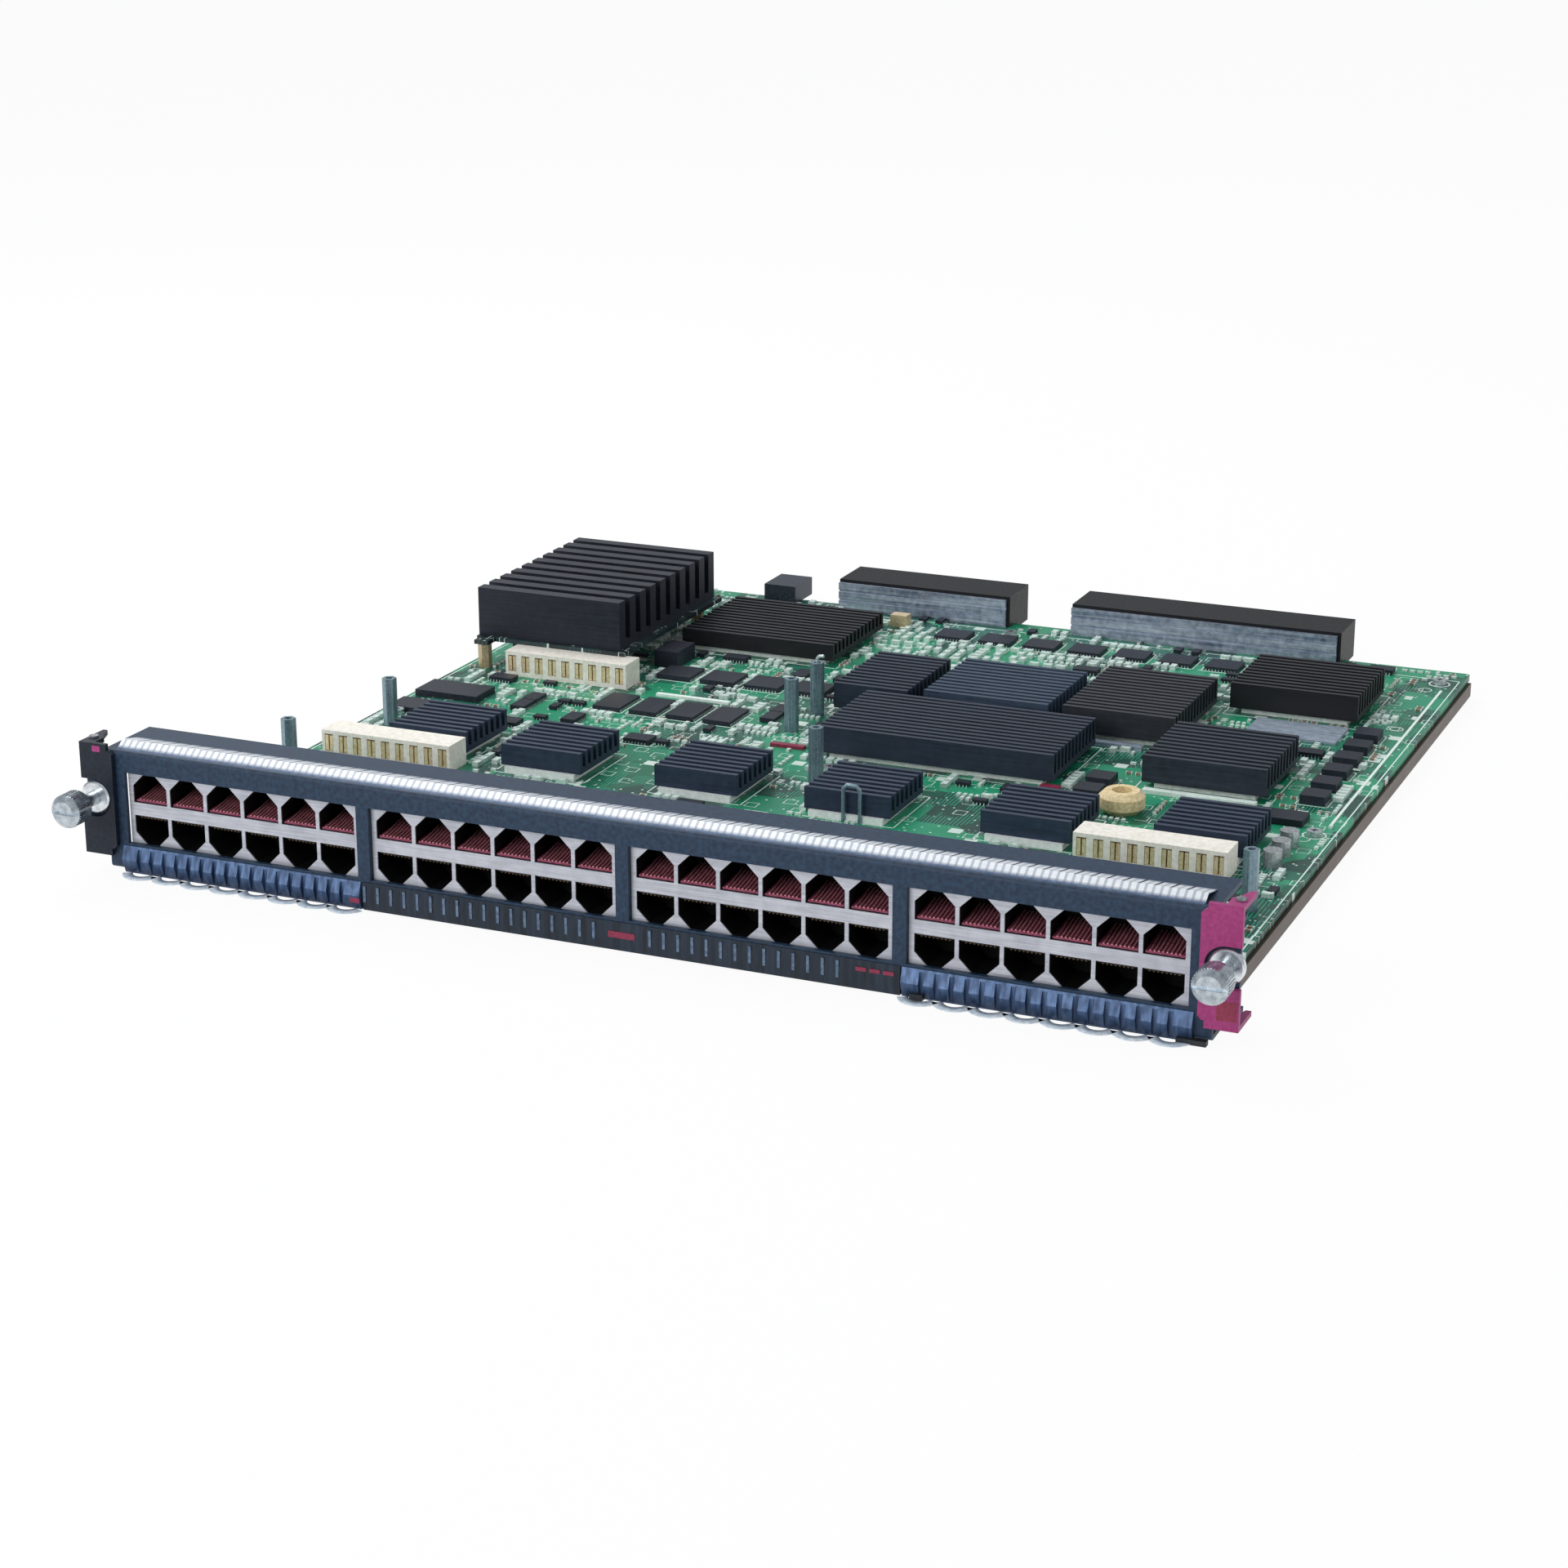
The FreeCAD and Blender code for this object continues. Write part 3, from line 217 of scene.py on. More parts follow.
def use_group(tree, group, inputs):
    node = tree.nodes.new("ShaderNodeGroup")
    node.node_tree = group
    for key, value in inputs.items():
        feed(tree, node.inputs[key], value)
    return node


def blend_colour(tree, factor, a, b):
    node = add(tree, "ShaderNodeMix", {0: factor, 6: a, 7: b}, data_type="RGBA")
    return node.outputs[2]


def spread(tree, value, low, high):
    """Map a 0.3 to 0.7 mask to the range low to high."""
    node = add(tree, "ShaderNodeMapRange", {0: value, 1: 0.3, 2: 0.7, 3: low, 4: high})
    return node.outputs[0]


def emboss(tree, shader, strength, height):
    """A shallow bump on the whole surface."""
    bumps = add(
        tree, "ShaderNodeBump", {"Strength": strength, "Distance": BUMP_DEPTH, "Height": height}
    )
    tree.links.new(bumps.outputs["Normal"], shader.inputs["Normal"])


def new_material(name):
    material = bpy.data.materials.new(name)
    material.use_nodes = True
    tree = material.node_tree
    shader = tree.nodes["Principled BSDF"]
    where = tree.nodes.new("ShaderNodeTexCoord").outputs["Object"]
    return material, tree, shader, where


# The pale colour of the painted highlight on the tops of the heat sinks
SHEEN_COLOUR = ink(176, 182, 190)


def finish_of(
    name, colour, shade, rough=(0.45, 0.6), metal=0.0, grain=2.0, bump=0.15, sheen=0.0,
    brushed=None, line=0.5, specular=0.5,
):
    """A finish whose colour and roughness wander between two values, with a fine bump."""
    material, tree, shader, where = new_material(name)
    marks = use_group(tree, GRAIN, {"Vector": where, "Grain mm": grain})
    mask = marks.outputs["Mask"]
    height = marks.outputs["Height"]
    if brushed:
        scratch = use_group(tree, BRUSHING, {"Vector": where, "Stretch": brushed, "Line mm": line})
        height = scratch.outputs["Mask"]
        mask = sums(tree, "MULTIPLY_ADD", height, 0.6, times(tree, mask, 0.4))
    tone = blend_colour(tree, spread(tree, mask, 0.0, 1.0), ink(*colour), ink(*shade))
    # A painted highlight on the faces that look up
    if sheen:
        sheen_film = use_group(tree, TOP_SHEEN, {"Vector": where, "Amount": sheen})
        tone = blend_colour(tree, sheen_film.outputs["Mask"], tone, SHEEN_COLOUR)
    tree.links.new(tone, shader.inputs["Base Color"])
    tree.links.new(spread(tree, mask, *rough), shader.inputs["Roughness"])
    shader.inputs["Metallic"].default_value = metal
    shader.inputs["Specular IOR Level"].default_value = specular
    emboss(tree, shader, bump, height)
    return material


def board_finish(name, mask_colour, pour_colour, run_colour, pitch):
    """Solder mask over copper: paler over pours and runs, with vias and printed marks."""
    material, tree, shader, where = new_material(name)
    printed = use_group(tree, BOARD_PRINT, {"Vector": where, "Run pitch mm": pitch})
    marks = use_group(tree, GRAIN, {"Vector": where, "Grain mm": 9.0})
    pours = spread(tree, printed.outputs["Pours"], 0.0, 1.0)
    runs = times(tree, printed.outputs["Runs"], 0.75)
    lines = times(tree, printed.outputs["Marks"], 0.85)
    tone = blend_colour(tree, pours, ink(*mask_colour), ink(*pour_colour))
    tone = blend_colour(tree, runs, tone, ink(*run_colour))
    tone = blend_colour(tree, printed.outputs["Vias"], tone, ink(190, 214, 200))
    tone = blend_colour(tree, lines, tone, ink(222, 236, 228))
    tree.links.new(tone, shader.inputs["Base Color"])
    tree.links.new(spread(tree, marks.outputs["Mask"], 0.3, 0.45), shader.inputs["Roughness"])
    height = sums(tree, "ADD", printed.outputs["Runs"], printed.outputs["Marks"])
    emboss(tree, shader, 0.3, height)
    return material


ALONG_X = (0.03, 1.0, 1.0)
ALONG_Y = (1.0, 0.03, 1.0)
ALONG_Z = (1.0, 1.0, 0.03)
contacts_low, contacts_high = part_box("port_contacts_1")
ROWS_MIDDLE = (contacts_low.z + contacts_high.z) / 2


def top_strip_finish():
    """Spring steel with a painted highlight along its crest, and painted shade, a darker blue,
    below it and in the seams between its fingers.
    """
    material, tree, shader, where = new_material("top_gasket_metal")
    marks = use_group(tree, GRAIN, {"Vector": where, "Grain mm": 2.2})
    axes = add(tree, "ShaderNodeSeparateXYZ", {0: where}).outputs
    heights = {0: axes["Z"], 1: TOP_STRIP_EDGE, 2: TOP_STRIP_CREST, 3: 0.0, 4: 1.0}
    lit_crest = add(tree, "ShaderNodeMapRange", heights).outputs[0]
    pitch = FINGER_PITCH_MM * MM
    seam_shade = sums(tree, "LESS_THAN", sums(tree, "PINGPONG", axes["X"], pitch / 4), 0.09 * pitch)
    # Painted shade below the crest and in the seams between the fingers; the pale colour is the
    # painted highlight
    edge = ink(66, 88, 118)
    tone = blend_colour(tree, lit_crest, edge, ink(240, 243, 246))
    tone = blend_colour(tree, times(tree, seam_shade, 0.45), tone, edge)
    speck = spread(tree, marks.outputs["Mask"], 0.0, 0.25)
    tone = blend_colour(tree, speck, tone, ink(150, 164, 186))
    tree.links.new(tone, shader.inputs["Base Color"])
    tree.links.new(spread(tree, marks.outputs["Mask"], 0.3, 0.42), shader.inputs["Roughness"])
    shader.inputs["Metallic"].default_value = 0.3
    emboss(tree, shader, 0.1, marks.outputs["Height"])
    return material


def lower_strip_finish():
    """Blue spring steel at the two end strips, darker towards their foot, and near black as painted
    shade on the strip between them.
    """
    material, tree, shader, where = new_material("bottom_gasket_metal")
    marks = use_group(tree, GRAIN, {"Vector": where, "Grain mm": 3.0})
    scratch = use_group(tree, BRUSHING, {"Vector": where, "Stretch": ALONG_Z, "Line mm": 1.6})
    axes = add(tree, "ShaderNodeSeparateXYZ", {0: where}).outputs
    side = sums(tree, "GREATER_THAN", sums(tree, "ABSOLUTE", axes["X"]), END_STRIP_FROM)
    # The blue ends turn darker towards their foot
    heights = {0: axes["Z"], 1: 1.2 * MM, 2: 5.6 * MM, 3: 0.75, 4: 0.0}
    low = add(tree, "ShaderNodeMapRange", heights).outputs[0]
    mask = spread(tree, scratch.outputs["Mask"], 0.0, 1.0)
    blue = blend_colour(tree, mask, ink(36, 58, 92), ink(86, 114, 154))
    blue = blend_colour(tree, low, blue, ink(28, 42, 66))
    # Painted shade: the middle strip is drawn near black, as its fingers lie in shadow
    shaded_tone = blend_colour(tree, mask, ink(17, 25, 36), ink(36, 50, 66))
    tone = blend_colour(tree, side, shaded_tone, blue)
    tree.links.new(tone, shader.inputs["Base Color"])
    tree.links.new(spread(tree, marks.outputs["Mask"], 0.32, 0.48), shader.inputs["Roughness"])
    shader.inputs["Metallic"].default_value = 0.35
    emboss(tree, shader, 0.1, marks.outputs["Height"])
    return material


def contact_finish():
    """Rose plastic in the upper jacks, and near black in the shaded lower ones."""
    material, tree, shader, where = new_material("contact_plastic")
    marks = use_group(tree, GRAIN, {"Vector": where, "Grain mm": 1.0})
    mask = marks.outputs["Mask"]
    height = add(tree, "ShaderNodeSeparateXYZ", {0: where}).outputs["Z"]
    upper = sums(tree, "GREATER_THAN", height, ROWS_MIDDLE)
    rose = blend_colour(tree, spread(tree, mask, 0.0, 1.0), ink(128, 54, 80), ink(168, 84, 112))
    shaded_tone = blend_colour(tree, spread(tree, mask, 0.0, 1.0), ink(20, 14, 16), ink(40, 26, 28))
    tree.links.new(blend_colour(tree, upper, shaded_tone, rose), shader.inputs["Base Color"])
    tree.links.new(spread(tree, mask, 0.45, 0.55), shader.inputs["Roughness"])
    emboss(tree, shader, 0.2, marks.outputs["Height"])
    return material


def sink_finish(name, colour, shade, metal=0.2):
    """Black anodised aluminium, sawn along X, with a little painted sheen on the tops of its fins.
    """
    return finish_of(
        name, colour, shade, (0.42, 0.58), metal, 3.0, 0.25, sheen=0.06,
        brushed=ALONG_X, line=0.6, specular=0.35,
    )


finishes = {}


def keep_finish(name, *values, **more):
    """Two colours, the roughness range, metal, grain in millimetres and bump."""
    finishes[name] = finish_of(name, *values, **more)


keep_finish(
    "tray_steel", (58, 46, 38), (96, 80, 66), (0.35, 0.5), 0.5, 6.0, 0.1, brushed=ALONG_Y,
    specular=0.35
)
keep_finish("standoff_steel", (150, 152, 156), (186, 188, 190), (0.3, 0.4), 0.9, brushed=ALONG_Z)
finishes["circuit_board"] = board_finish(
    "circuit_board", (6, 66, 54), (18, 140, 100), (36, 152, 118), 1.3
)
finishes["module_circuit_board"] = board_finish(
    "module_circuit_board", (16, 30, 36), (26, 50, 54), (50, 80, 82), 1.6
)
keep_finish("board_screw_steel", (170, 178, 182), (212, 218, 222), (0.25, 0.4), 0.85, 1.0)
keep_finish("face_screw_steel", (160, 164, 170), (196, 198, 202), (0.25, 0.4), 0.9, 1.0)
keep_finish("face_paint", (24, 40, 60), (44, 66, 90), (0.42, 0.58), 0.0, 1.6, 0.35, specular=0.3)
finishes["top_gasket_metal"] = top_strip_finish()
finishes["bottom_gasket_metal"] = lower_strip_finish()
keep_finish("port_chip", (222, 230, 226), (246, 248, 246), (0.5, 0.6), 0.0, 1.5)
keep_finish("core_chip", (200, 212, 206), (236, 240, 236), (0.5, 0.6), 0.0, 1.5)
finishes["port_sink"] = sink_finish("port_sink", (32, 42, 60), (50, 64, 86))
finishes["core_sink"] = sink_finish("core_sink", (30, 38, 52), (46, 56, 74))
finishes["rear_sink"] = sink_finish("rear_sink", (13, 14, 18), (24, 26, 32), 0.1)
finishes["module_sink"] = sink_finish("module_sink", (17, 20, 27), (34, 42, 56), 0.15)
keep_finish("module_post", (170, 150, 116), (206, 190, 156), (0.3, 0.45), 0.5, 1.0)
keep_finish("board_post", (84, 112, 124), (150, 172, 182), (0.25, 0.4), 0.55, 1.0, brushed=ALONG_Z)
keep_finish("package_black", (20, 24, 32), (36, 44, 58), (0.45, 0.55), 0.0, 1.0, 0.2, specular=0.35)
keep_finish(
    "connector_black", (10, 11, 14), (20, 22, 27), (0.45, 0.55), 0.0, 1.2, 0.25, specular=0.3
)
# Brushed plated metal whose pale streaks are partly painted highlights
keep_finish(
    "connector_wafer", (84, 100, 128), (204, 214, 228), (0.3, 0.42), 0.45, 2.2, 0.1,
    brushed=ALONG_X, line=1.4
)
keep_finish("guide_metal", (40, 46, 56), (72, 80, 92), (0.4, 0.5), 0.5, 1.0, 0.3)
keep_finish("inductor_cream", (204, 176, 120), (240, 224, 184), (0.5, 0.6), 0.0, 1.0, 0.3)
keep_finish("capacitor_can", (150, 156, 160), (196, 200, 204), (0.25, 0.35), 0.8, 1.0)
keep_finish(
    "shield_nickel", (158, 161, 171), (204, 206, 214), (0.32, 0.45), 0.35, 4.0, 0.1, brushed=ALONG_X
)
keep_finish("jack_plastic", (7, 7, 8), (16, 16, 17), (0.5, 0.6), 0.0, 1.0, 0.2, specular=0.2)
finishes["contact_plastic"] = contact_finish()
keep_finish("socket_white", (226, 220, 206), (248, 245, 236), (0.45, 0.55), 0.0, 1.5, 0.15)
keep_finish(
    "lever_left_paint", (16, 22, 32), (30, 40, 54), (0.42, 0.52), 0.0, 1.2, 0.3, specular=0.3
)
keep_finish(
    "lever_right_paint", (146, 46, 104), (168, 62, 122), (0.42, 0.52), 0.0, 1.2, 0.25, specular=0.35
)
keep_finish("pin_steel", (120, 124, 130), (170, 174, 178), (0.3, 0.4), 0.8, 1.0)
keep_finish("collar_chrome", (196, 202, 208), (236, 240, 242), (0.14, 0.24), 0.9, 2.0, 0.05)
keep_finish("thumb_screw_steel", (150, 160, 168), (204, 212, 218), (0.18, 0.3), 0.9, 2.0, 0.05)
keep_finish("clip_steel", (110, 112, 116), (150, 152, 156), (0.3, 0.4), 0.85, 1.0)

# Heat sinks each given a black of their own; sink 5, in the shadow under the connectors, takes the
# near-black rear finish as painted shade
sink_tones = {
    "core_heat_sink_3": sink_finish("sink_blue_grey", (44, 58, 76), (66, 82, 104)),
    "core_heat_sink_4": sink_finish("sink_neutral", (34, 36, 42), (52, 56, 64)),
    "core_heat_sink_5": finishes["rear_sink"],
    "core_heat_sink_6": sink_finish("sink_charcoal", (28, 34, 44), (48, 56, 70)),
}
for subpart in frame["record"]["subparts"]:
    node = subpart["node"]
    mesh = nodes[node].data
    mesh.materials.clear()
    mesh.materials.append(sink_tones.get(node) or finishes[subpart["material_slot"]])

# Finishes of the small pieces
package_black = finishes["package_black"]
wire_gold = finish_of("wire_gold", (206, 130, 140), (232, 168, 170), (0.25, 0.35), 0.5, 0.6, 0.05)
wire_shaded = finish_of("wire_shaded", (70, 54, 34), (104, 84, 56), (0.35, 0.45), 0.4, 0.6, 0.05)
ceramic_pale = finish_of(
    "ceramic_pale", (170, 202, 188), (222, 236, 228), (0.45, 0.55), 0.0, 1.0, 0.1
)
ceramic_brown = finish_of(
    "ceramic_brown", (112, 92, 74), (158, 140, 118), (0.45, 0.55), 0.0, 1.0, 0.1
)
solder_tin = finish_of("solder_tin", (206, 222, 218), (240, 248, 246), (0.3, 0.4), 0.4, 0.6, 0.1)
lead_tin = finish_of("lead_tin", (150, 168, 168), (206, 220, 216), (0.3, 0.4), 0.6, 0.6, 0.05)
print_white = finish_of("print_white", (206, 226, 216), (236, 246, 240), (0.5, 0.6), 0.0, 0.8, 0.1)
recess_dark = finish_of("recess_dark", (30, 32, 36), (52, 56, 62), (0.5, 0.6), 0.3, 0.6, 0.1)
contact_brass = finish_of(
    "contact_brass", (222, 190, 134), (248, 232, 200), (0.3, 0.42), 0.5, 0.8, 0.1
)
spring_pale = finish_of("spring_pale", (188, 208, 226), (240, 246, 250), (0.35, 0.5), 0.1, 1.6, 0.1)
# Pale blue of the ribs on the middle strip: a painted highlight on its fingers
rib_highlight_blue = finish_of("rib_highlight_blue", (66, 86, 112), (112, 132, 158), (0.35, 0.45), 0.3, 1.2, 0.1)
mark_red = finish_of("mark_red", (120, 28, 56), (150, 44, 78), (0.45, 0.55), 0.0, 1.0, 0.1)
plate_silver = finish_of(
    "plate_silver", (120, 138, 160), (196, 208, 220), (0.3, 0.42), 0.4, 2.4, 0.1, brushed=ALONG_X
)


# ---------------------------------------------------------------- geometry trees


def geometry_tree(name, sizes, taken=("Finish",)):
    """A geometry tree that takes a cloud of places, sizes with their defaults, and finishes."""
    inputs = [("Places", "Geometry", None)]
    for label, value in sizes.items():
        inputs.append((label, "Int" if isinstance(value, int) else "Float", value))
    inputs += [(label, "Material", None) for label in taken]
    return named_tree("GeometryNodeTree", name, inputs, [("Geometry", "Geometry")])


def vector_of(tree, x=0.0, y=0.0, z=0.0):
    return add(tree, "ShaderNodeCombineXYZ", {0: x, 1: y, 2: z}).outputs[0]


def block(tree, size, middle):
    """A cuboid of that size with its middle at that point."""
    cube = add(tree, "GeometryNodeMeshCube", {"Size": size}).outputs["Mesh"]
    return add(tree, "GeometryNodeTransform", {"Geometry": cube, "Translation": middle}).outputs[0]


def marked(tree, geometry, label):
    """Mark faces with an attribute, so that they can take their own material later."""
    inputs = {"Geometry": geometry, "Name": label, "Value": True}
    node = add(tree, "GeometryNodeStoreNamedAttribute", {}, data_type="BOOLEAN", domain="FACE")
    for key, value in inputs.items():
        for socket in node.inputs:
            if socket.name == key and socket.enabled:
                feed(tree, socket, value)
    return node.outputs["Geometry"]


def joined(tree, pieces):
    node = tree.nodes.new("GeometryNodeJoinGeometry")
    for piece in reversed(pieces):
        tree.links.new(piece, node.inputs[0])
    return node.outputs[0]


def read(tree, label, kind):
    node = add(tree, "GeometryNodeInputNamedAttribute", {"Name": label}, data_type=kind)
    return node.outputs["Attribute"]


def line_of(tree, count, start, step):
    """A line of points: how many, where the first is and the way to the next."""
    inputs = {"Count": count, "Start Location": start, "Offset": step}
    return add(tree, "GeometryNodeMeshLine", inputs).outputs[0]


def copied_to(tree, points, piece, **more):
    """A copy of the piece at each point, all as one mesh."""
    inputs = {"Points": points, "Instance": piece, **more}
    copies = add(tree, "GeometryNodeInstanceOnPoints", inputs).outputs[0]
    return add(tree, "GeometryNodeRealizeInstances", {0: copies}).outputs[0]


def swept(tree, path, width, height):
    """A rectangular section swept along a path, with closed ends."""
    inputs = {"Width": width, "Height": height}
    section = add(tree, "GeometryNodeCurvePrimitiveQuadrilateral", inputs).outputs[0]
    inputs = {"Curve": path, "Profile Curve": section, "Fill Caps": True}
    return add(tree, "GeometryNodeCurveToMesh", inputs).outputs[0]


def place_and_close(tree, given, piece, out, finish="Finish", second=None, label=""):
    """Copy the piece to each place and give the copies their materials."""
    turn = vector_of(tree, z=read(tree, "turn", "FLOAT"))
    size = read(tree, "size", "FLOAT_VECTOR")
    mesh = copied_to(tree, given["Places"], piece, Rotation=turn, Scale=size)
    inputs = {"Geometry": mesh, "Material": given[finish]}
    mesh = add(tree, "GeometryNodeSetMaterial", inputs).outputs[0]
    if second:
        marks = read(tree, label, "BOOLEAN")
        inputs = {"Geometry": mesh, "Selection": marks, "Material": given[second]}
        mesh = add(tree, "GeometryNodeSetMaterial", inputs).outputs[0]
    tree.links.new(mesh, out["Geometry"])


def plain_mesh(name, maker):
    """What an object looks like with its modifier or bevel, as a mesh."""
    bpy.context.view_layer.update()
    shown = maker.evaluated_get(bpy.context.evaluated_depsgraph_get())
    mesh = bpy.data.meshes.new_from_object(shown)
    mesh.name = name
    return mesh


def grow(name, tree, places, values, body):
    """Run a tree on (x, y, z, turn, size) places and keep what it makes on a body."""
    cloud = bpy.data.meshes.new(name)
    cloud.from_pydata([p[:3] for p in places], [], [])
    turn = cloud.attributes.new("turn", "FLOAT", "POINT")
    turn.data.foreach_set("value", [p[3] for p in places])
    size = cloud.attributes.new("size", "FLOAT_VECTOR", "POINT")
    size.data.foreach_set("vector", [v for p in places for v in p[4]])
    piece = bpy.data.objects.new(name, cloud)
    bpy.context.scene.collection.objects.link(piece)
    modifier = piece.modifiers.new(name, "NODES")
    modifier.node_group = tree
    sockets = {s.name: s.identifier for s in tree.interface.items_tree if s.in_out == "INPUT"}
    for key, value in values.items():
        modifier[sockets[key]] = value
    solid = plain_mesh(name, piece)
    piece.modifiers.remove(modifier)
    piece.data = solid
    for label in ("turn", "size"):
        if label in solid.attributes:
            solid.attributes.remove(solid.attributes[label])
    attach(piece, body)


def two_ended_tree():
    """Ceramic capacitors and resistors: a body between two tinned ends."""
    sizes = {"Length": 2.0 * MM, "Width": 1.2 * MM, "Height": 0.8 * MM, "End": 0.4 * MM}
    tree, given, out = geometry_tree("two_ended_parts", sizes, ("Body finish", "End finish"))
    core = sums(tree, "SUBTRACT", given["Length"], times(tree, given["End"], 2.0))
    size = vector_of(tree, core, given["Width"], given["Height"])
    body = block(tree, size, vector_of(tree, z=times(tree, given["Height"], 0.5)))
    tall = times(tree, given["Height"], 1.08)
    wide = times(tree, given["Width"], 1.06)
    shift = times(tree, sums(tree, "SUBTRACT", given["Length"], given["End"]), 0.5)
    caps = []
    for sign in (-1.0, 1.0):
        middle = vector_of(tree, times(tree, shift, sign), z=times(tree, tall, 0.5))
        caps.append(block(tree, vector_of(tree, given["End"], wide, tall), middle))
    piece = joined(tree, [body, marked(tree, joined(tree, caps), "tinned")])
    place_and_close(tree, given, piece, out, "Body finish", "End finish", "tinned")
    return tree


def leaded_tree():
    """Small packages with gull-wing leads along two sides."""
    sizes = {"Side X": 6.0 * MM, "Side Y": 9.0 * MM, "Height": 1.5 * MM}
    sizes.update({"Lead pitch": 1.27 * MM, "Leads": 6, "Lead reach": 1.1 * MM})
    tree, given, out = geometry_tree("leaded_packages", sizes, ("Body finish", "Lead finish"))
    lift = 0.2 * MM
    foot_width = 0.4 * MM
    sheet = 0.16 * MM
    reach = given["Lead reach"]
    tall = given["Height"]
    mid = sums(tree, "ADD", times(tree, tall, 0.5), lift)
    size = vector_of(tree, given["Side X"], given["Side Y"], tall)
    body = block(tree, size, vector_of(tree, z=mid))
    foot = block(
        tree,
        vector_of(tree, times(tree, reach, 0.6), foot_width, sheet),
        vector_of(tree, times(tree, reach, 0.7), z=sheet / 2),
    )
    shank = block(
        tree,
        vector_of(tree, sheet, foot_width, times(tree, tall, 0.55)),
        vector_of(tree, times(tree, reach, 0.4), z=times(tree, tall, 0.275)),
    )
    run = times(tree, sums(tree, "SUBTRACT", given["Leads"], 1.0), given["Lead pitch"])
    start = vector_of(tree, times(tree, given["Side X"], 0.5), times(tree, run, -0.5))
    line = line_of(tree, given["Leads"], start, vector_of(tree, 0.0, given["Lead pitch"]))
    row = copied_to(tree, line, joined(tree, [foot, shank]))
    inputs = {"Geometry": row, "Rotation": (0.0, 0.0, math.pi)}
    other = add(tree, "GeometryNodeTransform", inputs).outputs[0]
    piece = joined(tree, [body, marked(tree, joined(tree, [row, other]), "lead")])
    place_and_close(tree, given, piece, out, "Body finish", "Lead finish", "lead")
    return tree


def bar_tree():
    """Plain bars of each place's own size: printed lines, contacts, leads and ribs."""
    tree, given, out = geometry_tree("plain_bars", {})
    bar = block(tree, (1.0, 1.0, 1.0), (0.0, 0.0, 0.0))
    place_and_close(tree, given, bar, out)
    return tree


def ring_tree():
    """Flat printed rings."""
    sizes = {"Radius": 2.0 * MM, "Line": 0.4 * MM}
    tree, given, out = geometry_tree("printed_rings", sizes)
    inputs = {"Resolution": 16, "Radius": given["Radius"]}
    circle = add(tree, "GeometryNodeCurvePrimitiveCircle", inputs).outputs[0]
    ring = swept(tree, circle, given["Line"], 0.06 * MM)
    place_and_close(tree, given, ring, out)
    return tree


def wire_tree():
    """Eight spring wires of a jack, rising along the top of the contact carrier."""
    sizes = {"Wires": 8, "Wire pitch": 1.27 * MM, "Wire width": 0.5 * MM}
    sizes.update({"Depth": 12.0 * MM, "Rise": 2.2 * MM})
    tree, given, out = geometry_tree("jack_wires", sizes)
    depth = given["Depth"]
    inputs = {
        "Resolution": 5,
        "Start": vector_of(tree, 0.0, 0.0, 0.15 * MM),
        "Start Handle": vector_of(tree, 0.0, times(tree, depth, 0.35), 0.3 * MM),
        "End Handle": vector_of(tree, 0.0, times(tree, depth, 0.8), given["Rise"]),
        "End": vector_of(tree, 0.0, depth, given["Rise"]),
    }
    path = add(tree, "GeometryNodeCurvePrimitiveBezierSegment", inputs).outputs[0]
    wire = swept(tree, path, given["Wire width"], 0.3 * MM)
    run = times(tree, sums(tree, "SUBTRACT", given["Wires"], 1.0), given["Wire pitch"])
    start = vector_of(tree, times(tree, run, -0.5))
    line = line_of(tree, given["Wires"], start, vector_of(tree, given["Wire pitch"]))
    comb = copied_to(tree, line, wire)
    place_and_close(tree, given, comb, out)
    return tree


def leaf_tree():
    """Flat leaf springs that bow forward between their two ends."""
    sizes = {"Length": 10.0 * MM, "Bow": 3.0 * MM, "Leaf width": 1.6 * MM, "Sheet": 0.25 * MM}
    tree, given, out = geometry_tree("leaf_springs", sizes)
    half = times(tree, given["Length"], 0.5)
    back = times(tree, half, -1.0)
    bow = times(tree, given["Bow"], -1.33)
    inputs = {
        "Resolution": 8,
        "Start": vector_of(tree, back),
        "Start Handle": vector_of(tree, times(tree, back, 0.6), bow),
        "End Handle": vector_of(tree, times(tree, half, 0.6), bow),
        "End": vector_of(tree, half),
    }
    path = add(tree, "GeometryNodeCurvePrimitiveBezierSegment", inputs).outputs[0]
    leaf = swept(tree, path, given["Leaf width"], given["Sheet"])
    place_and_close(tree, given, leaf, out)
    return tree


def knurl_tree():
    """Ribs round a knob whose axis runs along Y."""
    sizes = {"Ribs": 36, "Radius": 5.4 * MM, "Rib length": 6.0 * MM}
    sizes.update({"Rib width": 0.5 * MM, "Rib height": 0.36 * MM})
    tree, given, out = geometry_tree("knob_ribs", sizes)
    size = vector_of(tree, given["Rib height"], given["Rib length"], given["Rib width"])
    rib = block(tree, size, vector_of(tree, given["Radius"]))
    index = add(tree, "GeometryNodeInputIndex").outputs[0]
    angle = times(tree, sums(tree, "DIVIDE", index, given["Ribs"]), math.tau)
    points = line_of(tree, given["Ribs"], (0.0, 0.0, 0.0), (0.0, 0.0, 0.0))
    crown = copied_to(tree, points, rib, Rotation=vector_of(tree, 0.0, angle, 0.0))
    place_and_close(tree, given, crown, out)
    return tree


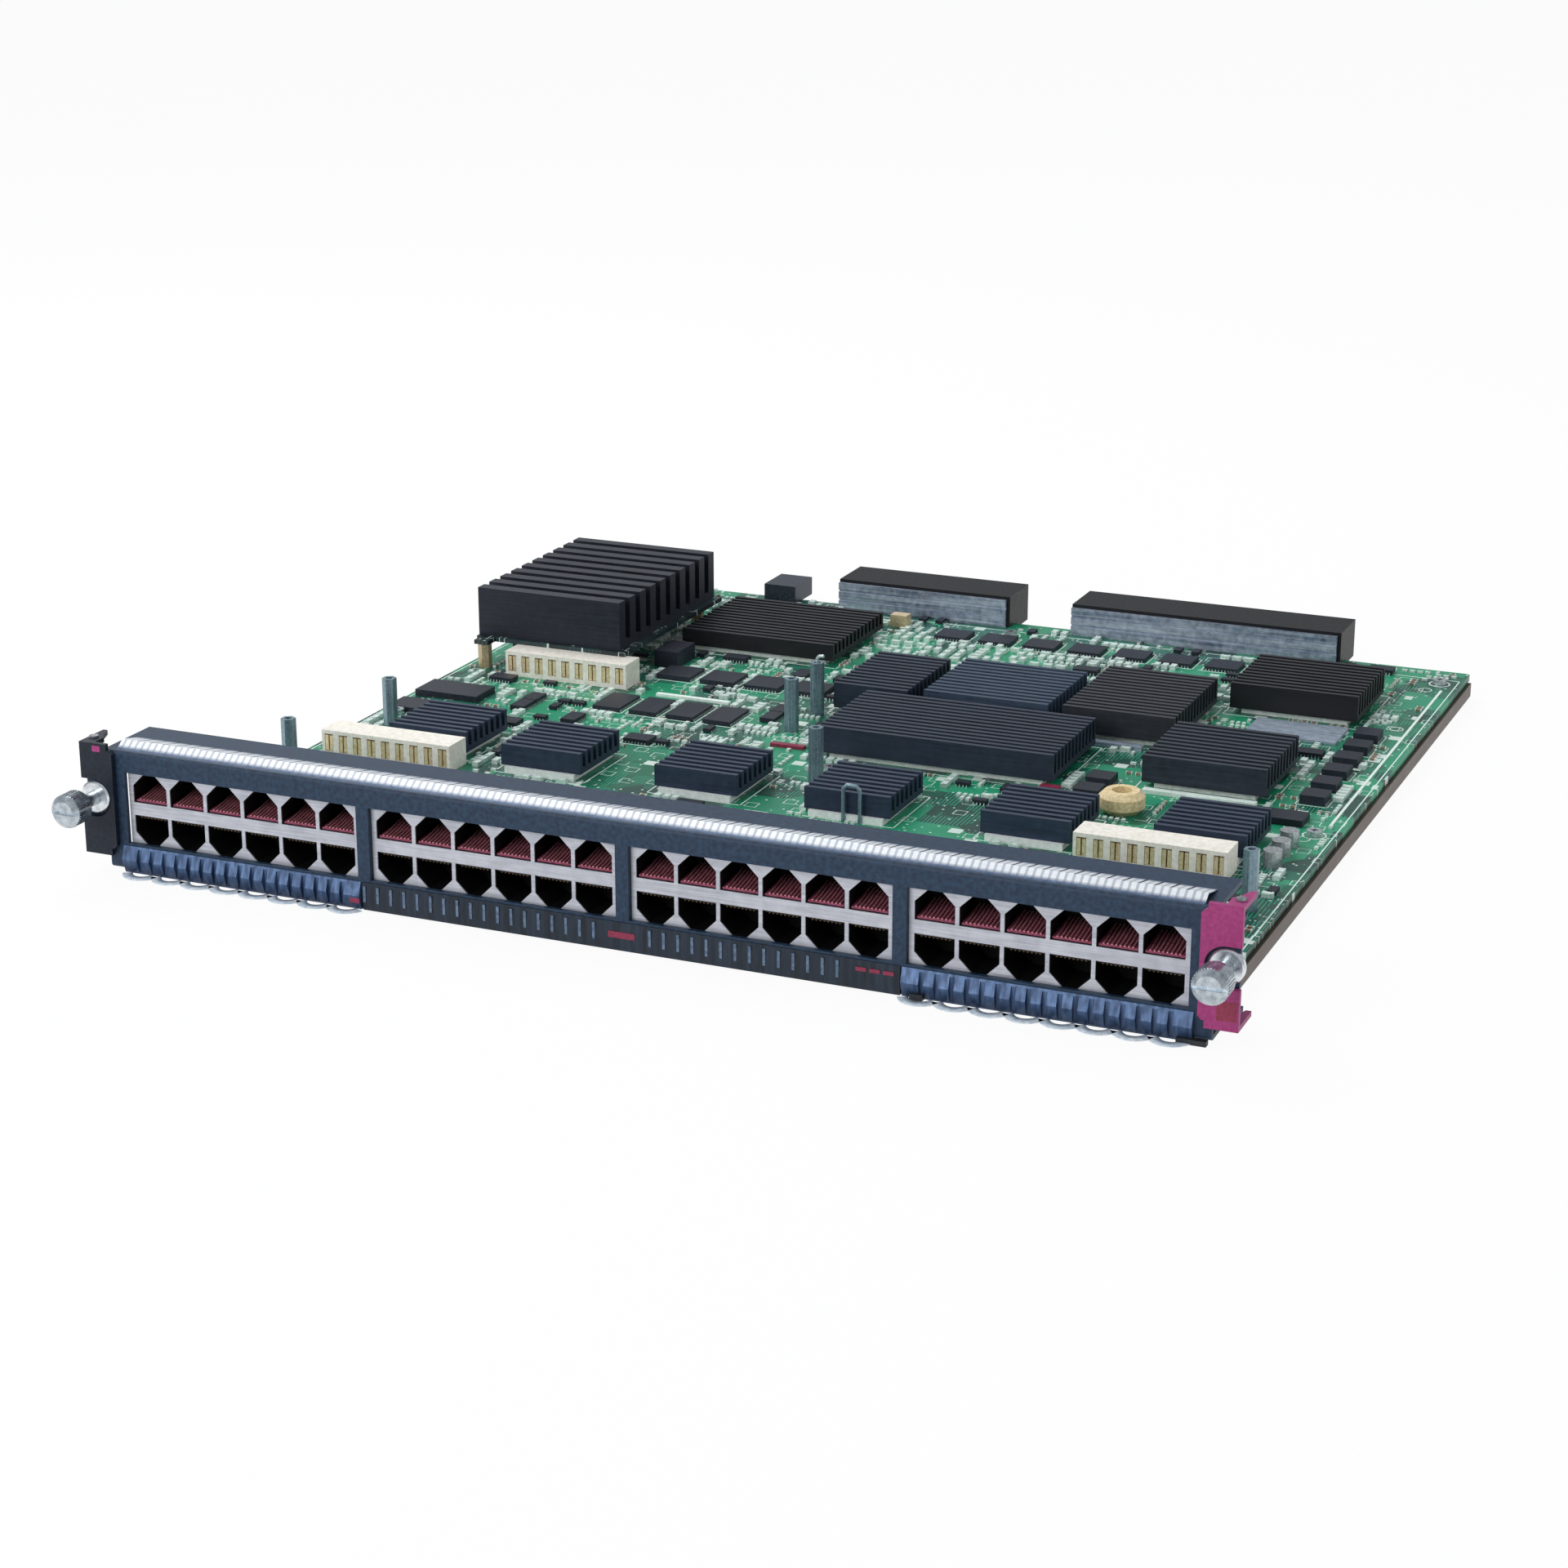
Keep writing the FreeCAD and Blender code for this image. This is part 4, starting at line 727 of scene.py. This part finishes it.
def bent_wire(name, points, radius, finish):
    """A round wire bent through some points, standing on the board."""
    curve = bpy.data.curves.new(name, "CURVE")
    curve.dimensions = "3D"
    curve.bevel_depth = radius
    curve.bevel_resolution = 2
    curve.use_fill_caps = True
    spline = curve.splines.new("POLY")
    spline.points.add(len(points) - 1)
    for point, (x, y, z) in zip(spline.points, points):
        point.co = (x * MM, y * MM, BOARD_TOP + z * MM, 1.0)
    maker = bpy.data.objects.new(name, curve)
    bpy.context.scene.collection.objects.link(maker)
    solid = plain_mesh(name, maker)
    bpy.data.objects.remove(maker)
    solid.materials.clear()
    solid.materials.append(finish)
    piece = bpy.data.objects.new(name, solid)
    bpy.context.scene.collection.objects.link(piece)
    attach(piece, "card")


# ---------------------------------------------------------------- places on the board


def solid_boxes(node):
    """The box of each separate solid of a CAD node: its lowest and its highest corner."""
    work = bmesh.new()
    work.from_mesh(nodes[node].data)
    bmesh.ops.remove_doubles(work, verts=work.verts, dist=1e-6)
    work.verts.ensure_lookup_table()
    seen = set()
    found = []
    for vertex in work.verts:
        if vertex.index in seen:
            continue
        seen.add(vertex.index)
        stack = [vertex]
        corners = []
        while stack:
            here = stack.pop()
            corners.append(here.co.copy())
            for edge in here.link_edges:
                other = edge.other_vert(here)
                if other.index not in seen:
                    seen.add(other.index)
                    stack.append(other)
        low = Vector(min(c[axis] for c in corners) for axis in range(3))
        high = Vector(max(c[axis] for c in corners) for axis in range(3))
        found.append((low, high))
    work.free()
    return found


ONE = (1.0, 1.0, 1.0)          # the size of a piece that keeps its tree's own sizes
BOARD_MARGIN = 2.5 * MM
PART_GAP = 0.9 * MM
JACK_ZONE = 34 * MM            # the front of the board, under the jacks
CLUSTER_SCALE = 34
CLUSTER_SLICE = 3.7
BARE_BELOW = -0.08
LEAD_PITCH = 1.27 * MM
LEAD_REACH = 0.5 * MM
LEAD_WIDTH = 0.4 * MM
LEAD_HEIGHT = 0.7 * MM
LEAD_MIDDLE = 0.36 * MM        # above the board
board_low, board_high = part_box("main_board")
BOARD_TOP = board_high.z
sinks = [n for n in nodes if "heat_sink" in n and not n.startswith("module")]
on_board = ["port_chips", "core_chips", "board_packages", "board_screws", "board_posts"]
on_board += ["module_posts", "guide_block", "inductor", "capacitors", *sinks]
on_board += [n for n in nodes if n.startswith(("backplane", "port_shield", "card_socket"))]
kept_clear = [(a.x, a.y, b.x, b.y) for n in on_board for a, b in solid_boxes(n)]


def is_free(x, y, half_x, half_y, margin=0.5 * MM):
    """True where a part of that size would stand clear of everything placed so far."""
    if not board_low.x + BOARD_MARGIN + half_x < x < board_high.x - BOARD_MARGIN - half_x:
        return False
    if not board_low.y + BOARD_MARGIN + half_y < y < board_high.y - BOARD_MARGIN - half_y:
        return False
    for x0, y0, x1, y1 in kept_clear:
        over_x = x0 - half_x - margin < x < x1 + half_x + margin
        if over_x and y0 - half_y - margin < y < y1 + half_y + margin:
            return False
    return True


def is_busy(x, y):
    """Parts gather in clusters and leave bare board between them."""
    place = Vector((x * CLUSTER_SCALE, y * CLUSTER_SCALE, CLUSTER_SLICE))
    return noise.noise(place) > BARE_BELOW


def scatter(seed, tries, length, width, rows, region=None, crowded=False):
    """Short straight rows of parts at free places, the way a layout groups them."""
    draw = random.Random(seed)
    whole_board = (board_low.x, board_low.y + JACK_ZONE, board_high.x, board_high.y)
    x0, y0, x1, y1 = region or whole_board
    places = []
    for _ in range(tries):
        x = draw.uniform(x0, x1)
        y = draw.uniform(y0, y1)
        turned = draw.random() < 0.5
        half = (width / 2, length / 2) if turned else (length / 2, width / 2)
        step_x = draw.random() < 0.5
        gap = 2 * (half[0] if step_x else half[1]) + PART_GAP
        for k in range(draw.randint(*rows)):
            px = x + (k * gap if step_x else 0.0)
            py = y + (0.0 if step_x else k * gap)
            if not is_free(px, py, *half) or not (crowded or is_busy(px, py)):
                break
            kept_clear.append((px - half[0], py - half[1], px + half[0], py + half[1]))
            places.append((px, py, BOARD_TOP, math.pi / 2 if turned else 0.0, ONE))
    return places


def bar(x, y, z, size_x, size_y, size_z):
    """The place of an unturned bar from its middle and its size, all in millimetres."""
    return (x * MM, y * MM, z * MM, 0.0, (size_x * MM, size_y * MM, size_z * MM))


def standing(x, y, size_x, size_y, height):
    """The place of a bar that stands on the board, in millimetres."""
    return bar(x, y, TOP + height / 2, size_x, size_y, height)


def keep_off(x0, y0, x1, y1):
    """Keep an area of the board bare. Its corners are in millimetres."""
    kept_clear.append((x0 * MM, y0 * MM, x1 * MM, y1 * MM))


bars = bar_tree()
two_ended = two_ended_tree()
leaded = leaded_tree()
TOP = BOARD_TOP / MM

# ---------------------------------------------------------------- single parts of the board

def on_free_board(wanted):
    """The wanted bars that stand clear of the solids. Each then keeps its own place clear."""
    placed = []
    for x, y, z, turn, size in wanted:
        if is_free(x, y, size[0] / 2, size[1] / 2, 0.2 * MM):
            half_x, half_y = size[0] / 2, size[1] / 2
            kept_clear.append((x - half_x, y - half_y, x + half_x, y + half_y))
            placed.append((x, y, z, turn, size))
    return placed


# Plated covers and pale strips beside the sinks, then brass, dark and red parts
single_parts = (
    ("plated_covers", plate_silver, "connector_wafer", [
        standing(139.0, 274.0, 34.0, 20.0, 1.0),
        standing(84.0, 231.5, 20.0, 3.4, 1.6),
    ]),
    ("pale_strips", print_white, "port_chip", [
        standing(128.0, 186.6, 40.0, 3.0, 1.4),
        standing(-95.0, 236.0, 46.0, 2.6, 1.0),
        standing(-80.0, 224.5, 30.0, 2.2, 1.0),
        standing(-126.0, 226.0, 26.0, 2.8, 1.2),
        standing(176.2, 262.0, 1.0, 170.0, 0.2),
    ]),
    ("brass_parts", contact_brass, "inductor_cream", [
        standing(-46.0, 352.0, 7.0, 5.0, 5.0),
        standing(-112.6, 281.0, 4.0, 6.0, 4.0),
    ]),
    ("dark_packages", package_black, "package_black", [
        standing(-108.0, 268.0, 10.0, 16.0, 6.4),
        standing(170.0, 318.0, 12.0, 22.0, 2.4),
        standing(160.0, 176.0, 16.0, 10.0, 2.4),
        standing(-166.0, 196.0, 26.0, 15.0, 2.4),
        standing(-164.0, 174.0, 30.0, 12.0, 2.0),
    ]),
    ("red_parts", mark_red, "contact_plastic", [
        standing(78.0, 176.0, 7.0, 3.0, 1.6),
        standing(-24.0, 184.5, 13.0, 2.6, 1.2),
    ]),
)
for name, finish, slot, wanted in single_parts:
    grow(name, bars, on_free_board(wanted), {"Finish": finish}, "card")

# Bare patches of board
keep_off(62.0, 196.0, 92.0, 222.0)
keep_off(-76.0, 112.0, -50.0, 158.0)
keep_off(44.0, 112.0, 70.0, 140.0)
keep_off(-18.0, 112.0, 4.0, 138.0)

# ---------------------------------------------------------------- parts in clusters

rear_area = [v * MM for v in (-50, 300, 24, 338)]
rear_cluster = scatter(21, 260, 4.6 * MM, 3.0 * MM, (2, 5), rear_area, True)
packages = scatter(11, 150, 10.5 * MM, 8.2 * MM, (1, 2))
small_packages = scatter(12, 260, 6.4 * MM, 5.0 * MM, (1, 3))
big_ceramics = scatter(13, 900, 3.8 * MM, 2.4 * MM, (2, 6)) + rear_cluster
small_ceramics = scatter(14, 2600, 2.1 * MM, 1.3 * MM, (3, 8))
brown_ceramics = scatter(15, 700, 2.6 * MM, 1.8 * MM, (1, 4), None, True)

package_finishes = {"Body finish": package_black, "Lead finish": lead_tin}
large_package = {"Side X": 5.8 * MM, "Side Y": 9.6 * MM, "Height": 1.7 * MM, "Leads": 7}
small_package = {"Side X": 3.0 * MM, "Side Y": 4.9 * MM, "Height": 1.3 * MM, "Leads": 4}
small_package["Lead reach"] = 0.9 * MM
large_package.update(package_finishes)
small_package.update(package_finishes)
grow("large_packages", leaded, packages, large_package, "card")
grow("small_packages", leaded, small_packages, small_package, "card")

pale_ceramic = {"Body finish": ceramic_pale, "End finish": solder_tin}
large_ceramic = {"Length": 3.6 * MM, "Width": 2.2 * MM, "Height": 1.5 * MM, "End": 0.8 * MM}
large_ceramic.update(pale_ceramic)
brown_ceramic = {"Length": 2.4 * MM, "Body finish": ceramic_brown, "End finish": solder_tin}
grow("large_ceramics", two_ended, big_ceramics, large_ceramic, "card")
grow("small_ceramics", two_ended, small_ceramics, pale_ceramic, "card")
grow("brown_ceramics", two_ended, brown_ceramics, brown_ceramic, "card")

# Leads of the solid packages, along their two long sides
leads = []
for low, high in solid_boxes("board_packages"):
    size_x = high.x - low.x
    size_y = high.y - low.y
    along_y = size_y >= size_x
    run = size_y if along_y else size_x
    count = int(run // LEAD_PITCH)
    middle = (low + high) / 2
    for k in range(count):
        shift = (k - (count - 1) / 2) * LEAD_PITCH
        for side in (-1, 1):
            if along_y:
                place = (middle.x + side * (size_x / 2 + LEAD_REACH / 2), middle.y + shift)
                size = (LEAD_REACH, LEAD_WIDTH, LEAD_HEIGHT)
            else:
                place = (middle.x + shift, middle.y + side * (size_y / 2 + LEAD_REACH / 2))
                size = (LEAD_WIDTH, LEAD_REACH, LEAD_HEIGHT)
            leads.append((*place, BOARD_TOP + LEAD_MIDDLE, 0.0, size))
grow("package_leads", bars, leads, {"Finish": lead_tin}, "card")

# ---------------------------------------------------------------- printed lines on the board

PRINT = 0.05 * MM              # the height of printed lines
LINE = 0.45 * MM
RING_HEIGHT = 0.03 * MM
SCREW_RING = (1.6, 1.6, 1.0)   # how much larger the rings round the screws are


def outline_bars(x0, y0, x1, y1):
    """Four printed lines round a part."""
    z = BOARD_TOP + PRINT / 2
    middle_x = (x0 + x1) / 2
    middle_y = (y0 + y1) / 2
    across = (x1 - x0 + LINE, LINE, PRINT)
    along = (LINE, y1 - y0 + LINE, PRINT)
    return [
        (middle_x, y0, z, 0.0, across),
        (middle_x, y1, z, 0.0, across),
        (x0, middle_y, z, 0.0, along),
        (x1, middle_y, z, 0.0, along),
    ]


lines = []
for node, gap in [(n, 2.0 * MM) for n in sinks] + [("board_packages", 1.1 * MM)]:
    for low, high in solid_boxes(node):
        if low.y > board_low.y + 45 * MM:
            lines += outline_bars(low.x - gap, low.y - gap, high.x + gap, high.y + gap)
border_low = (board_low.x + 1.6 * MM, board_low.y + 30 * MM)
border_high = (board_high.x - 1.6 * MM, board_high.y - 12 * MM)
lines += outline_bars(*border_low, *border_high)
grow("printed_outlines", bars, lines, {"Finish": print_white}, "card")

rings = []
for x, y in ((170.3, 346.0), (171.7, 292.3), (171.0, 160.0)):
    rings.append((x * MM, y * MM, BOARD_TOP + RING_HEIGHT, 0.0, ONE))
for low, high in solid_boxes("board_screws"):
    middle = (low + high) / 2
    rings.append((middle.x, middle.y, BOARD_TOP + RING_HEIGHT, 0.0, SCREW_RING))
ring_values = {"Radius": 2.4 * MM, "Finish": print_white}
grow("printed_rings", ring_tree(), rings, ring_values, "card")

# ---------------------------------------------------------------- sockets, screws and wires

SLOTS = 9                      # of a card socket
# Two contacts in each slot, one on either side of its middle
contacts = []
for node in ("card_socket_left", "card_socket_middle", "card_socket_right"):
    low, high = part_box(node)
    pitch = (high.x - low.x) / SLOTS
    for k in range(SLOTS):
        x = low.x + (k + 0.5) * pitch
        for side in (-1, 1):
            place = (x + side * 0.9 * MM, low.y + 3.2 * MM, low.z + 4.9 * MM)
            contacts.append((*place, 0.0, (1.3 * MM, 6.1 * MM, 5.8 * MM)))
grow("socket_contacts", bars, contacts, {"Finish": contact_brass}, "card")

# A dark cross on each board screw: painted shade for its cross recess
recesses = []
for low, high in solid_boxes("board_screws"):
    for turn in (0.0, math.pi / 2):
        middle = (low + high) / 2
        size = (2.4 * MM, 0.55 * MM, 0.08 * MM)
        recesses.append((middle.x, middle.y, high.z + 0.02 * MM, turn, size))
grow("screw_recess_shade", bars, recesses, {"Finish": recess_dark}, "card")

WIRE_START = 0.7 * MM          # from the base of a contact carrier to its wires
UPSIDE_DOWN = (1.0, 1.0, -1.0)
wires = wire_tree()
for gang in range(1, 5):
    upper = []
    lower = []
    for low, high in solid_boxes(f"port_contacts_{gang}"):
        if low.z > ROWS_MIDDLE:
            upper.append(((low.x + high.x) / 2, low.y, low.z + WIRE_START, 0.0, ONE))
        else:
            lower.append(((low.x + high.x) / 2, low.y, high.z - WIRE_START, 0.0, UPSIDE_DOWN))
    gold = {"Finish": wire_gold}
    shaded = {"Finish": wire_shaded}
    grow(f"upper_jack_wires_{gang}", wires, upper, gold, "card")
    grow(f"lower_jack_wires_{gang}", wires, lower, shaded, "card")

knurl = knurl_tree()
for side in ("left", "right"):
    low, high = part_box(f"thumb_screw_{side}")
    knob = [((low.x + high.x) / 2, low.y + 5.0 * MM, (low.z + high.z) / 2, 0.0, ONE)]
    steel = {"Finish": finishes["thumb_screw_steel"]}
    grow(f"knob_ribs_{side}", knurl, knob, steel, f"screw_{side}")

WIRE_RADIUS = 0.7 * MM
hook_points = [(-30.0, 226.0, 19.6), (-30.0, 226.0, 21.4)]
hook_points += [(-29.2, 226.0, 22.4), (-27.4, 226.0, 22.6)]
bent_wire("post_hook", hook_points, WIRE_RADIUS, lead_tin)
arch_points = [(25.0, 117.0, 0.0), (25.0, 117.0, 11.6), (26.4, 117.0, 13.0)]
arch_points += [(29.6, 117.0, 13.0), (31.0, 117.0, 11.6), (31.0, 117.0, 0.0)]
bent_wire("wire_arch", arch_points, WIRE_RADIUS, finishes["board_post"])

# ---------------------------------------------------------------- springs and marks on the front

LEAVES_A_SIDE = 8
FIRST_LEAF = 97.5 * MM         # from the middle of the faceplate
LEAF_PITCH = 11.0 * MM
leaves = []
for side in (-1, 1):
    for k in range(LEAVES_A_SIDE):
        leaves.append((side * (FIRST_LEAF + k * LEAF_PITCH), -1.2 * MM, 0.4 * MM, 0.0, ONE))
leaf_values = {"Bow": 3.6 * MM, "Leaf width": 3.4 * MM, "Finish": spring_pale}
grow("lower_leaf_springs", leaf_tree(), leaves, leaf_values, "card")

# The middle strip's ribs, its fingers, take a pale blue that is painted highlight, and leave room
# for the coloured dashes
ribs = []
for k in range(-19, 20):
    if abs(k) > 1 and not 16 <= k <= 19:
        ribs.append(bar(k * FINGER_PITCH_MM, -0.72, 5.9, 0.9, 0.4, 5.4))
grow("lower_strip_ribs", bars, ribs, {"Finish": rib_highlight_blue}, "card")
dashes = [bar(0.0, -0.78, 5.6, 9.0, 0.3, 2.0), bar(-93.6, -1.5, 3.6, 3.4, 0.5, 1.6)]
dashes += [bar(x, -0.74, 6.9, 3.4, 0.3, 1.2) for x in (79.0, 83.4, 87.8)]
grow("lower_strip_dashes", bars, dashes, {"Finish": mark_red}, "card")

# Patches on the levers' front faces, each let in but for 0.04 mm
PATCH_MM = 0.12
LET_IN_MM = 0.02               # from the face to the patch's middle
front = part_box("lever_left")[0].y / MM + LET_IN_MM
patch = [bar(-188.2, front, 42.2, 3.0, PATCH_MM, 2.0)]
rose = {"Finish": finishes["lever_right_paint"]}
grow("left_lever_patch", bars, patch, rose, "lever_left")
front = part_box("lever_right")[0].y / MM + LET_IN_MM
patch = [bar(191.0, front, 12.0, 6.0, PATCH_MM, 6.0)]
red = {"Finish": mark_red}
grow("right_lever_block", bars, patch, red, "lever_right")

# Two small black feet at the lower strip
feet = [bar(181.0, -1.2, 1.0, 9.0, 2.4, 1.6), bar(97.0, -1.2, 1.2, 4.0, 2.4, 2.0)]
grow("strip_feet", bars, feet, {"Finish": recess_dark}, "card")

# ---------------------------------------------------------------- floor, lights, camera

WHITE = (1.0, 1.0, 1.0, 1.0)
FLOOR_HALF = 6.0
FLOOR_DROP = 0.5 * MM
FLOOR_GLOW = 0.94
floor_mesh = bpy.data.meshes.new("floor")
corners = [(x * FLOOR_HALF, y * FLOOR_HALF, 0) for x, y in ((-1, -1), (1, -1), (1, 1), (-1, 1))]
floor_mesh.from_pydata(corners, [], [(0, 1, 2, 3)])
floor = bpy.data.objects.new("floor", floor_mesh)
floor.location.z = -FLOOR_DROP
bpy.context.scene.collection.objects.link(floor)
material, tree, shader, where = new_material("pale_floor")
shader.inputs["Base Color"].default_value = (0.85, 0.85, 0.85, 1.0)
shader.inputs["Roughness"].default_value = 0.9
shader.inputs["Specular IOR Level"].default_value = 0.0
rays = add(tree, "ShaderNodeLightPath").outputs
seen = sums(tree, "MAXIMUM", rays["Is Glossy Ray"], rays["Is Transmission Ray"])
seen = sums(tree, "MAXIMUM", rays["Is Camera Ray"], seen)
seen = times(tree, seen, FLOOR_GLOW)
glow = add(tree, "ShaderNodeEmission", {"Color": WHITE, "Strength": 1.0}).outputs[0]
both = add(tree, "ShaderNodeMixShader", {0: seen, 1: shader.outputs[0], 2: glow})
tree.links.new(both.outputs[0], tree.nodes["Material Output"].inputs["Surface"])
floor_mesh.materials.append(material)

world = bpy.data.worlds.new("studio")
bpy.context.scene.world = world
world.use_nodes = True
tree = world.node_tree
soft = tree.nodes["Background"]
soft.inputs["Color"].default_value = (0.93, 0.96, 1.0, 1.0)
soft.inputs["Strength"].default_value = 0.5
white = add(tree, "ShaderNodeBackground", {"Color": WHITE, "Strength": 1.0}).outputs[0]
rays = add(tree, "ShaderNodeLightPath").outputs
both = add(tree, "ShaderNodeMixShader", {0: rays["Is Camera Ray"], 1: soft.outputs[0], 2: white})
tree.links.new(both.outputs[0], tree.nodes["World Output"].inputs["Surface"])


def aim(obj, target):
    obj.rotation_euler = (Vector(target) - obj.location).to_track_quat("-Z", "Y").to_euler()


def lamp(name, place, target, size, power):
    light = bpy.data.lights.new(name, "AREA")
    light.shape = "SQUARE"
    light.size = size
    light.energy = power
    obj = bpy.data.objects.new(name, light)
    obj.location = place
    bpy.context.scene.collection.objects.link(obj)
    aim(obj, target)


card_middle = (0.0, 0.19, 0.02)
lamp("key", (-0.75, 0.55, 1.15), card_middle, 0.9, 11.5)
lamp("front_fill", (-0.55, -1.25, 0.75), card_middle, 0.9, 11.0)
lamp("right_rim", (1.3, 0.3, 0.7), card_middle, 0.8, 3.0)

camera_data = bpy.data.cameras.new("camera")
camera_data.sensor_width = 36.0
camera_data.lens = 73.69
camera_data.clip_start = 0.01
camera = bpy.data.objects.new("camera", camera_data)
azimuth = math.radians(23.28)
elevation = math.radians(18.36)
camera.location = (0.4085, -0.8243, 0.3591)
level = math.cos(elevation)
back = Vector((math.sin(azimuth) * level, -math.cos(azimuth) * level, math.sin(elevation)))
camera.rotation_euler = back.to_track_quat("Z", "Y").to_euler()
bpy.context.scene.collection.objects.link(camera)
bpy.context.scene.camera = camera
bpy.context.scene.view_settings.view_transform = "Standard"
